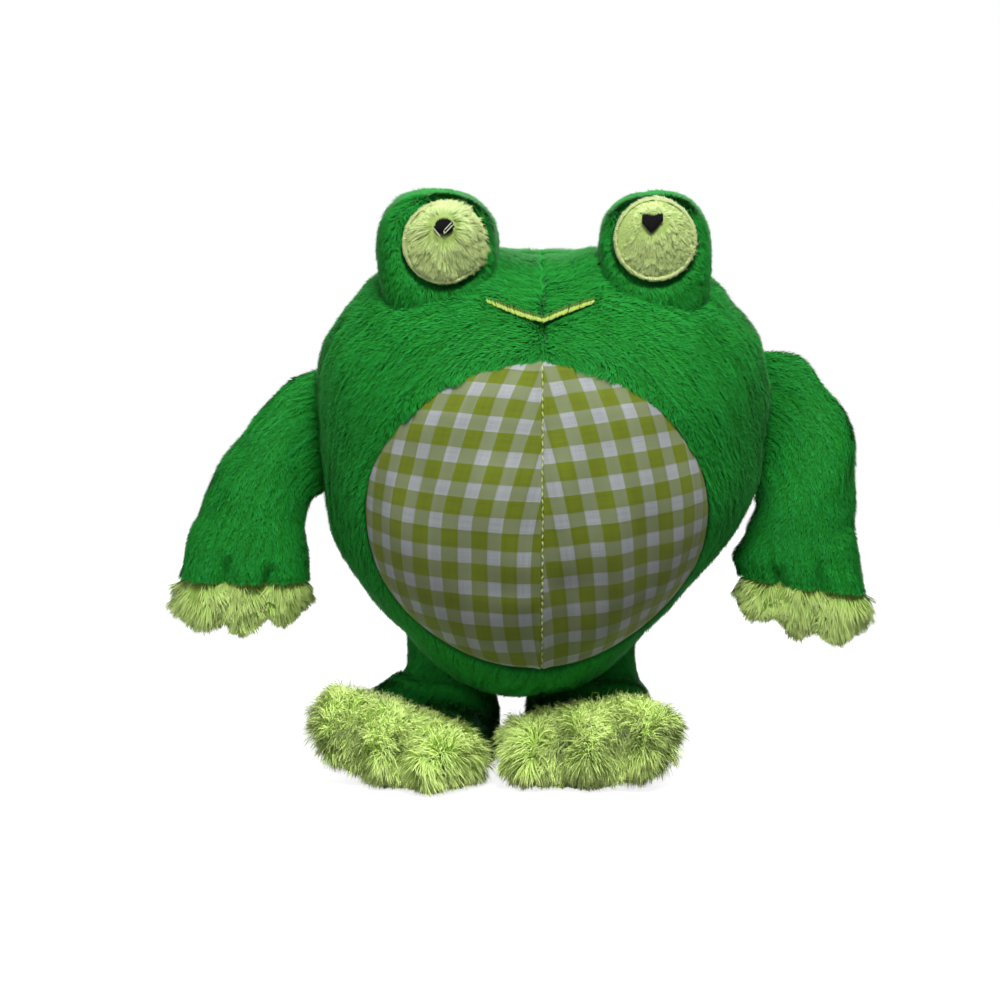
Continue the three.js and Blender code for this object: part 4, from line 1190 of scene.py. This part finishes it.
def belly_stitches(seams):
    """Running stitches along the belly's middle seam, over the edge of either half."""
    rng = seeded("belly stitches")
    z = np.arange(SEAM_TOP, SEAM_LOW, -STITCH_PITCH)
    count = len(z)
    share = np.linspace(-0.5, 0.5, 6)[None]
    stitch_z = z[:, None] + share * (STITCH_LENGTH + 0.25 * rng.random(count))[:, None]
    slant = rng.normal(0, 0.18, count) + 0.28 * np.where(np.arange(count) % 2, 1, -1)
    stitch_x = share * slant[:, None] + rng.normal(0, 0.06, count)[:, None]
    seam_y = np.minimum(*(np.interp(stitch_z, seam[:, 2], seam[:, 1]) for seam in seams))
    paths = xyz(stitch_x, seam_y - 0.2 - 0.16 * arch(share), stitch_z)
    finish_piece(tubes("belly_stitches", paths, SEAM_RADIUS, SEAM_THREAD), "torso")


def belly_pieces():
    seams = []
    for name, side in (("left", 1), ("right", -1)):
        form = belly_form(side)
        seams.append(form.points[::-1, 0])
        piece = cloth(f"belly_{name}_cotton", form, GINGHAM, uv=belly_uv(side, form.points))
        finish_piece(piece, "torso", [f"belly_{name}_panel"])
    belly_stitches(seams)


# ---- Mouth

SMILE_STITCHES = 27


def mouth_piece():
    """The smile: satin stitches side by side across a shallow V, in a dark copy of the thread that is painted shade.
    """
    rng = seeded("mouth")
    count = SMILE_STITCHES
    share = np.linspace(0.01, 1, count)
    paths = []
    for side, (reach, rise, bow) in MOUTH_ARMS.items():
        half = MOUTH_BAND * (1.0 + 0.25 * np.sin(math.pi * share)) + rng.normal(0, 0.2, count)
        x = (side * reach * share + MOUTH_MIDDLE)[:, None] + ACROSS * side * 0.7 + rng.normal(0, 0.09, count)[:, None]
        z = MOUTH_BASE + (rise * (share - bow * share * (1 - share)))[:, None] + ACROSS * half[:, None]
        y = body_front(x, z, 0.5) - 0.5 * arch(ACROSS) - rng.uniform(0, 0.35, count)[:, None]
        paths.append(xyz(x, y, z))
    paths = np.concatenate(paths)
    stitches = tubes("smile_stitches", paths, SMILE_RADIUS, SMILE_SHADE_THREAD)
    finish_piece(stitches, "torso", ["mouth_stitching"])
    # Painted highlight: a pale copy of the stitches lies over the lower half of the band, which catches the light
    middle = paths.mean(axis=1, keepdims=True)
    bright = middle + (paths - middle) * 0.62 + np.array([0, -0.5, -0.28])
    finish_piece(tubes("smile_highlights", bright, GLEAM_RADIUS, SMILE_HIGHLIGHT_THREAD), "torso")


# ---- Eyes

RING_STITCHES, PUPIL_STITCHES = 128, 13


def eye_distance(eye, q):
    """How far a place is from the eye's middle, seen from the front."""
    return np.hypot(q[..., 0] - eye["eye_x"], q[..., 2] - eye["eye_z"])


def bulge_cover(name, eye):
    form = bulge_form(eye)
    p = form.points
    away = eye_distance(eye, p)
    # A plush rim stands round the disc like a hood, with a crease between the two
    face = smooth(-p[..., 1], BULGE_FORWARD + 5, BULGE_FORWARD + 11)
    above = 0.35 + 0.65 * smooth(p[..., 2] - eye["eye_z"], -5, 6)
    hood = 0.8 * bump_at(away, 13.6, 1.9) - 1.2 * bump_at(away, 11.0, 1.1)
    trim = sum(amount * np.clip(form.normal[..., 0] * side + form.normal[..., 2] * up, 0, 1)
               for amount, side, up in eye["trim"])
    amount = -PILE_ROOT - 0.3 + hood * face * above + trim + 0.2 * ripple(p, 11, 41)
    amount = np.maximum(amount, SKIN_DEEPEST)
    # The disc and its border lie on the cloth
    seat = (1 - smooth(away, EYE_RADIUS - 0.5, EYE_OUTER)) * smooth(-form.normal[..., 1], 0.1, 0.6)
    skin = form.moved(amount + (-0.35 - amount) * seat)

    def keep(q):
        """Not under the eye, nor in the body."""
        bare = (eye_distance(eye, q) < EYE_OUTER - 0.1) & (q[..., 1] < bulge_front(eye, q[..., 0], q[..., 2]) + 4)
        return ~(bare | inside_body(q, 3.0))

    def hooded(root):
        """Where the pile of the bulge hangs over the upper edge of the eye."""
        ahead = smooth(-root[:, 1], BULGE_FORWARD, BULGE_FORWARD + 6)
        return (1 - smooth(eye_distance(eye, root), 10.8, 12.6)) * smooth(root[:, 2] - eye["eye_z"], -2, 5) * ahead

    def comb(root, normal, along):
        near = hooded(root)
        beside = root[:, 0] - eye["x"]
        return xyz(0.5 * np.sign(beside) * smooth(np.abs(beside), 0, 8) * (1 - 1.6 * near), 0.5 - 0.5 * near, -1)

    def fringe(root):
        """Longer at the foot of the bulge."""
        low = bump_at(root[:, 2], BULGE_TOP - BULGE_HEIGHT + 5, 4) * smooth(-root[:, 1], BULGE_FORWARD, 26)
        return 1 + 0.7 * low + 0.35 * hooded(root)

    piece = cloth(f"{name}_bulge_cloth", skin, GREEN_GROUND)
    finish_piece(piece, "torso", [f"{name}_eye_bulge"])
    pile = short_pile(f"{name}_bulge_pile", skin, BULGE_STRANDS, comb, keep, seed=50, grow=fringe)
    finish_piece(pile, "torso")


def eye_disc(name, eye, pupil):
    """The lime disc, its pile parted round the pupil."""
    radius = np.linspace(0, EYE_RADIUS, 26)[:, None]
    angle = np.linspace(0, 2 * math.pi, 97)[None]
    x = eye["eye_x"] + radius * np.cos(angle)
    z = eye["eye_z"] + radius * np.sin(angle)
    points = xyz(x, bulge_front(eye, x, z) - 0.25 - 0.9 * (1 - (radius / EYE_RADIUS) ** 2), z)
    points[0] = points[0, 0]
    disc = Form(points, closed=True, outward=np.broadcast_to(-Y, points.shape))
    piece = cloth(f"{name}_disc_cloth", disc, EYE_GROUND)
    finish_piece(piece, "torso", [f"{name}_eye_disc"])

    def comb(root, normal, along):
        way = unit((root - pupil) * np.array([1, 0, 1]))
        way[:, 2] -= 0.4
        return unit(way) + 0.28 * normal

    def keep(q):
        away = np.hypot(q[..., 0] - pupil[0], q[..., 2] - pupil[2])
        return (away > PUPIL_RADIUS * 0.85) & (eye_distance(eye, q) < EYE_RADIUS - 0.5)

    def grow(root):
        """Shorter towards the border, so it stays in view, but for the side where the pile lies over it."""
        side, up = eye["overlap"]
        over_border = smooth(side * (root[:, 0] - eye["eye_x"]) + up * (root[:, 2] - eye["eye_z"]), 2, 10)
        return 1 - (0.62 - 0.4 * over_border) * smooth(eye_distance(eye, root), EYE_RADIUS - 5, EYE_RADIUS - 0.6)

    pile = long_pile(f"{name}_disc_pile", disc, EYE_STRANDS, comb, EYE_PILE, keep, length=eye["pile"], width=0.17,
                     steps=4, tuft=24, seed=60, fall=0.05, grow=grow, unruly=0.55)
    finish_piece(pile, "torso")


def eye_ring(name, eye):
    """The satin border round the disc."""
    count = RING_STITCHES
    rng = seeded(name + " ring")
    stitch = EYE_RADIUS + EYE_BORDER / 2 - 0.15 + ACROSS * (EYE_BORDER + rng.uniform(-0.5, 0.2, count)[:, None])
    turn = np.linspace(0, 2 * math.pi, count, endpoint=False)[:, None] + ACROSS * 0.05
    x, z = eye["eye_x"] + stitch * np.cos(turn), eye["eye_z"] + stitch * np.sin(turn)
    y = bulge_front(eye, x, z) - 0.1 - (0.4 + rng.uniform(0, 0.4, count)[:, None]) * arch(ACROSS)
    ring = tubes(f"{name}_ring_stitches", xyz(x, y, z), RING_RADIUS, RING_THREAD)
    finish_piece(ring, "torso", [f"{name}_eye_border"])


def eye_pupil(name, eye, pupil):
    """Black satin stitches, with a few pale ones caught over them."""
    spread = np.linspace(-1, 1, PUPIL_STITCHES)
    if name == "right":
        top = low = np.sqrt(np.clip(1 - spread**2, 0, 1))
    else:
        top = 0.74 + 0.07 * np.cos(spread * 4.4 + 2.4)
        low = 0.2 + 1.4 * np.clip(1 - np.abs(spread + 0.12), 0, 1) ** 0.8
    z = pupil[2] + PUPIL_RADIUS * (-low[:, None] * 0.95 + (top + low * 0.95)[:, None] * (ACROSS + 0.5))
    x = np.broadcast_to(pupil[0] + (spread * PUPIL_RADIUS)[:, None], z.shape)
    y = bulge_front(eye, x, z) - 1.7 - 0.55 * arch(ACROSS)
    black = tubes(f"{name}_pupil_stitches", xyz(x, y, z), BLACK_RADIUS, BLACK_THREAD)
    finish_piece(black, "torso", [f"{name}_pupil"])

    mark = np.stack([np.linspace(start, end, 7) for start, end in eye["glints"]])
    x, z = pupil[0] + mark[..., 0], pupil[2] + mark[..., 1]
    pale = tubes(f"{name}_pupil_glints", xyz(x, bulge_front(eye, x, z) - 2.75, z), GLINT_RADIUS, PALE_THREAD)
    finish_piece(pale, "torso")


def eye_pieces(name, eye):
    pupil = np.array([eye["eye_x"] + eye["pupil"][0], 0, eye["eye_z"] + PUPIL_ABOVE_EYE + eye["pupil"][1]])
    bulge_cover(name, eye)
    eye_disc(name, eye, pupil)
    eye_ring(name, eye)
    eye_pupil(name, eye, pupil)


# ---- Arms and hands

def around_limb(form):
    """How far along a closed form its rows are, from 0 to 1, and the angle of its columns."""
    rows, columns = form.points.shape[:2]
    return np.linspace(0, 1, rows)[:, None], np.linspace(0, 2 * math.pi, columns)[None]


def limb_covers(limb, parts, skin, count, keep, bend, length, seed):
    """The two halves of an arm's or a leg's cover, each with its pile, which lies along the limb."""
    half = skin.points.shape[1] // 2
    for part, piece in zip(parts, (skin.columns(0, half + 1), skin.columns(half, None))):
        made = cloth(f"{limb}_{part}_cloth", piece, GREEN_GROUND)
        finish_piece(made, limb, [f"{limb}_{part}"], bend=bend)
        pile = short_pile(f"{limb}_{part}_pile", piece, count, lambda root, normal, along: along, keep, length, seed)
        finish_piece(pile, limb, bend=bend)


def arm_pieces(name, arm):
    side = arm["side"]
    limb = f"{name}_arm"
    hinge = side * SHOULDER_REACH
    bend = ((hinge - side * 3, 0, 90), (hinge + side * 5, 0, 90))
    form = arm_form(arm)
    p = form.points
    t, angle = around_limb(form)
    crease = -0.45 * bump_at(np.abs(np.sin(angle)) * ARM_THICKNESS / 2, 0, 1.1)
    lumps = 0.22 * ripple(p, 15, 71 + side) + 0.06 * ripple(p, 6, 72 + side)
    fade = smooth(t, 0.02, 0.2)
    out, up = side * form.normal[..., 0], form.normal[..., 2]
    shaped = 0.45 * limb_push(form, cap=1.6, growth=0.03)
    for amount, way_out, way_up, first, last in arm["trim"]:
        shaped = shaped + amount * np.clip(out * way_out + up * way_up, 0, 1) * bump_at(t, first, last)
    # The cloth is gathered into the hand in two pleats
    for place in (-0.36, 0.3):
        shaped = shaped - 2.4 * bump_at(np.cos(angle), place, 0.1) * smooth(t, 0.84, 0.96) * (np.sin(angle) < 0)
    amount = (0.6 - PILE_ROOT + crease + lumps + shaped) * (0.35 + 0.65 * fade)
    limb_covers(limb, ("back", "front"), form.moved(amount), ARM_STRANDS, lambda q: ~inside_body(q, 2.0), bend,
                SHORT_PILE, seed=80)
    filling = cloth(f"{limb}_filling", form.moved(np.minimum(-ARM_FILLING * fade - 0.6, amount - 0.5)), FIBRE)
    finish_piece(filling, limb, [f"{limb}_stuffing"], bend=bend)
    hand_pieces(name, arm)


def hand_pieces(name, arm):
    side = arm["side"]
    hand, down = hand_form(arm)
    q = hand.points
    wrist = q[0].mean(axis=0)
    sideways = np.cross(down, Y)
    sideways = sideways * np.sign(sideways[0] * side)
    outward = (q - wrist) @ sideways
    hang = smooth(np.linspace(0, 1, q.shape[0]), 0, 0.5)[:, None] * outward * arm["hand_slant"]
    hand = Form(q + hang[..., None] * down + 0.02 * outward[..., None] * sideways, True, hand.normal)
    skin = hand.moved(-FUR_ROOT + 0.4 * ripple(hand.points, 7, 90))
    ground = cloth(f"{name}_hand_cloth", skin, LIME_GROUND)
    finish_piece(ground, f"{name}_arm", [f"{name}_hand_fur"])

    def comb(root, normal, along):
        """Each of the three lobes fans out a little from its own middle."""
        beside = ((root - wrist) @ sideways) / 13
        fan = beside - np.clip(np.round(beside / 0.72), -1, 1) * 0.72
        return 0.34 * normal + 0.85 * down + (0.3 * beside + 0.8 * fan)[:, None] * sideways

    def grow(root):
        """Longest in the middle of each lobe and on the outer side, and shorter at the lower edge."""
        beside, low = (root - wrist) @ sideways / 13, (root - wrist) @ down / HAND_LENGTH
        lobe = np.cos(beside / 0.72 * 2 * math.pi)
        return 0.9 + 0.16 * lobe + 0.16 * beside - 0.4 * smooth(low, 0.4, 0.9)

    # The hands' pile is drawn in the darker, painted-shade copy of the lime pile
    fur = long_pile(f"{name}_hand_pile", skin, HAND_STRANDS, comb, SHADED_HAND_PILE, length=HAND_PILE_LENGTH, tuft=26,
                    seed=100 + side, grow=grow, unruly=0.8)
    finish_piece(fur, f"{name}_arm")


# ---- Legs and feet

def leg_pieces(name, leg):
    side = leg["side"]
    limb = f"{name}_leg"
    bend = ((leg["x"], LEG_BEHIND, HIP_HEIGHT + 9), (leg["x"], LEG_BEHIND, HIP_HEIGHT - 2))
    form = leg_form(leg)
    t, angle = around_limb(form)
    crease = -0.6 * bump_at(np.abs(np.sin(angle)) * LEG_DEPTH / 2, 0, 0.9)
    lumps = 0.15 * ripple(form.points, 11, 121 + side)
    over_foot, outer = leg["instep"]
    instep = over_foot * bump_at(t, 0.54, 0.21) * np.clip(np.sin(angle), 0, 1)
    instep = instep + outer * bump_at(t, 0.58, 0.22) * np.clip(0.7 * np.sin(angle) + 0.7 * np.cos(angle), 0, 1) ** 2
    inside = leg["inside"] * bump_at(t, 0.5, 0.16) * np.clip(-np.cos(angle), 0, 1)
    push = limb_push(form, cap=1.4, growth=0.02)
    skin = form.moved(0.5 - PILE_ROOT + crease + lumps + instep + inside + 0.35 * push)
    skin.points[..., 2] = np.maximum(skin.points[..., 2], 0.3)
    limb_covers(limb, ("front", "back"), skin, LEG_STRANDS, lambda q: ~inside_body(q, 3.0) & (q[..., 2] > 0.6), bend,
                LEG_PILE, seed=130)
    inner = form.moved(-LEG_FILLING)
    inner.points[..., 2] = np.maximum(inner.points[..., 2], 1.5)
    filling = cloth(f"{limb}_filling", inner, FIBRE)
    finish_piece(filling, limb, [f"{limb}_stuffing"], bend=bend)
    toe_pieces(name, leg)


def toe_skin(leg, toes, place):
    """The toes' cloth. place: each point's share of the way from the middle to the outer side, or -1 to the inner."""
    q = toes.points
    t, _ = around_limb(toes)
    # Three toes, parted by two deep folds, over a seam that runs along the front
    parting = (1 - lobes(place)) ** 2 * (np.abs(place) < 0.8) * smooth(t, 0.1, 0.5)
    seam = -1.7 * bump_at(q[..., 2], TOE_SEAM_HEIGHT + leg["toe_lift"] * np.maximum(place, 0), 1.5)
    seam = seam * smooth(-q[..., 1], 12, 24)
    skin = toes.moved(-FUR_ROOT - 0.6 + 0.4 * ripple(q, 6, 140 + leg["side"]) + seam - 2.4 * parting)
    sink = np.interp(place, (-0.6, 0, 0.6), leg["toe_sink"])
    skin.points[..., 2] += leg["toe_lift"] * smooth(place, 0.0, 0.9) - sink * (skin.points[..., 2] / TOE_HEIGHT)
    ahead = turned(leg, np.array([0.0, -1, 0]), 1.0) - turned(leg, np.zeros(3), 1.0)
    low_front = smooth(t, 0.35, 0.8) * smooth(-place, 0.25, 0.6)
    skin.points += ahead * (leg["toe_ahead"] * low_front)[..., None]
    skin.points[..., 2] = np.maximum(skin.points[..., 2], 0.5)
    return Form(skin.points, True, skin.normal)


def toe_pieces(name, leg):
    side = leg["side"]
    limb = f"{name}_leg"
    toes = toe_form(leg)
    t, angle = around_limb(toes)
    place = squared_off(np.cos(angle), PAW_SQUARE) * share_at(TOE_WIDTH_SHARES, t)
    skin = toe_skin(leg, toes, place)
    middles = np.array([[side * TOE_WIDTH / 3 * k, -(FOOT_REACH + TOE_LENGTH - 15), TOE_SEAM_HEIGHT]
                        for k in (-1, 0, 1)])
    middles = turned(leg, middles, 1.0)
    middles[:, 2] += np.array([0, 0, leg["toe_lift"]])

    def comb(root, normal, along):
        """Out from the middle of the nearest toe, and up or down from the seam."""
        nearest = middles[np.argmin(((root[:, None] - middles[None])[..., :2] ** 2).sum(-1), axis=1)]
        away = (root - nearest) / 9
        rise = np.clip((root[:, 2:] - nearest[:, 2:]) / 1.8, -1, 1)
        return 0.5 * normal + 0.28 * away * np.array([1, 1, 0]) + np.where(rise > 0, 0.62, 0.8) * rise * Z

    for part, sign, fall in (("top", 1, 0.6), ("sole", -1, 0.5)):
        above = sign * (skin.points[..., 2] - TOE_SEAM_HEIGHT - leg["toe_lift"] * smooth(place, 0.0, 0.9))
        made = cloth(f"{name}_toe_{part}_cloth", skin, LIME_GROUND, keep=np.maximum.reduce(corners(above)) > 0)
        finish_piece(made, limb, [f"{name}_toe_{part}_fur"])
        fur = long_pile(
            f"{name}_toe_{part}_pile", skin, TOE_STRANDS, comb, LIME_PILE,
            lambda r: (sign * (r[..., 2] - TOE_SEAM_HEIGHT - leg["toe_lift"] / 3) > 0) & (r[..., 2] > 0.7),
            seed=150 + 7 * side, fall=fall, floor=True,
        )
        finish_piece(fur, limb)


def fillings():
    """The stuffing of the body and of the eye bulges, which is out of sight."""
    shift, half_width, half_depth, height = body_section(np.linspace(0, 1, 60))
    body = from_sections(xyz(shift, 0, height), X, Y, half_width, half_depth, 72).moved(-BODY_FILLING)
    finish_piece(cloth("body_filling", body, FIBRE), "torso", ["body_stuffing"])
    for name, eye in EYES.items():
        piece = cloth(f"{name}_eye_filling", bulge_form(eye, 40, 48).moved(-EYE_FILLING), FIBRE)
        finish_piece(piece, "torso", [f"{name}_eye_stuffing"])


body_pieces()
belly_pieces()
mouth_piece()
for make, sides in ((eye_pieces, EYES), (arm_pieces, ARMS), (leg_pieces, LEGS)):
    for name, values in sides.items():
        make(name, values)
fillings()


# ---- Floor, light and background

def floor_material():
    s = Shader("floor", 0.9)
    s.base((0.2, 0.2, 0.2, 1))
    glow = s.node("Emission", in_Color=(1, 1, 1, 1), in_Strength=s.math("MULTIPLY", s.seen(), 0.86))
    both = s.node("AddShader", in_0=s.surface.outputs[0], in_1=glow.outputs[0])
    s.put(both.outputs[0], s.tree.nodes["Material Output"].inputs[0])
    return s.material


FLOOR_REACH = 420.0
floor_corners = np.array([[-1, -1, 0], [1, -1, 0], [1, 1, 0], [-1, 1, 0]]) * FLOOR_REACH
floor = build("floor", floor_corners - MIDDLE, np.array([[0, 1, 2, 3]]), material=floor_material())

for name, place, aim, size, power in (
    ("key", (0.12, -0.76, 1.1), (0, 0, 0.06), 0.45, 20.5),
    ("fill", (-0.7, -1.0, 0.75), (0, 0, 0.05), 0.6, 4.0),
    ("back", (0.1, 0.95, 0.3), (0, 0, 0.07), 0.6, 4.5),
):
    lamp = add_object(name, bpy.data.lights.new(name, "AREA"))
    lamp.data.shape, lamp.data.size, lamp.data.energy = "DISK", size, power
    lamp.location = place
    lamp.rotation_euler = (Vector(aim) - Vector(place)).to_track_quat("-Z", "Y").to_euler()

world = bpy.data.worlds.new("studio")
bpy.context.scene.world = world
world.use_nodes = True
studio = Nodes(world.node_tree)
# The studio is bright above and dark towards the ground, and plain white to the camera
glow = studio.tree.nodes["Background"]
up = studio.node("SeparateXYZ", in_0=studio.node("TexCoord").outputs["Generated"]).outputs[2]
rise = studio.node("MapRange", in_0=up, in_1=-0.1, in_2=0.9, in_3=0.02, in_4=0.46).outputs[0]
studio.put((1, 1, 1, 1), glow.inputs["Color"])
studio.put(rise, glow.inputs["Strength"])
white = studio.node("Background", in_Color=(1, 1, 1, 1), in_Strength=1.0)
blend = studio.node("MixShader", in_0=studio.seen(), in_1=glow.outputs[0], in_2=white.outputs[0])
studio.put(blend.outputs[0], studio.tree.nodes["World Output"].inputs[0])
bpy.context.scene.view_settings.view_transform = "Standard"
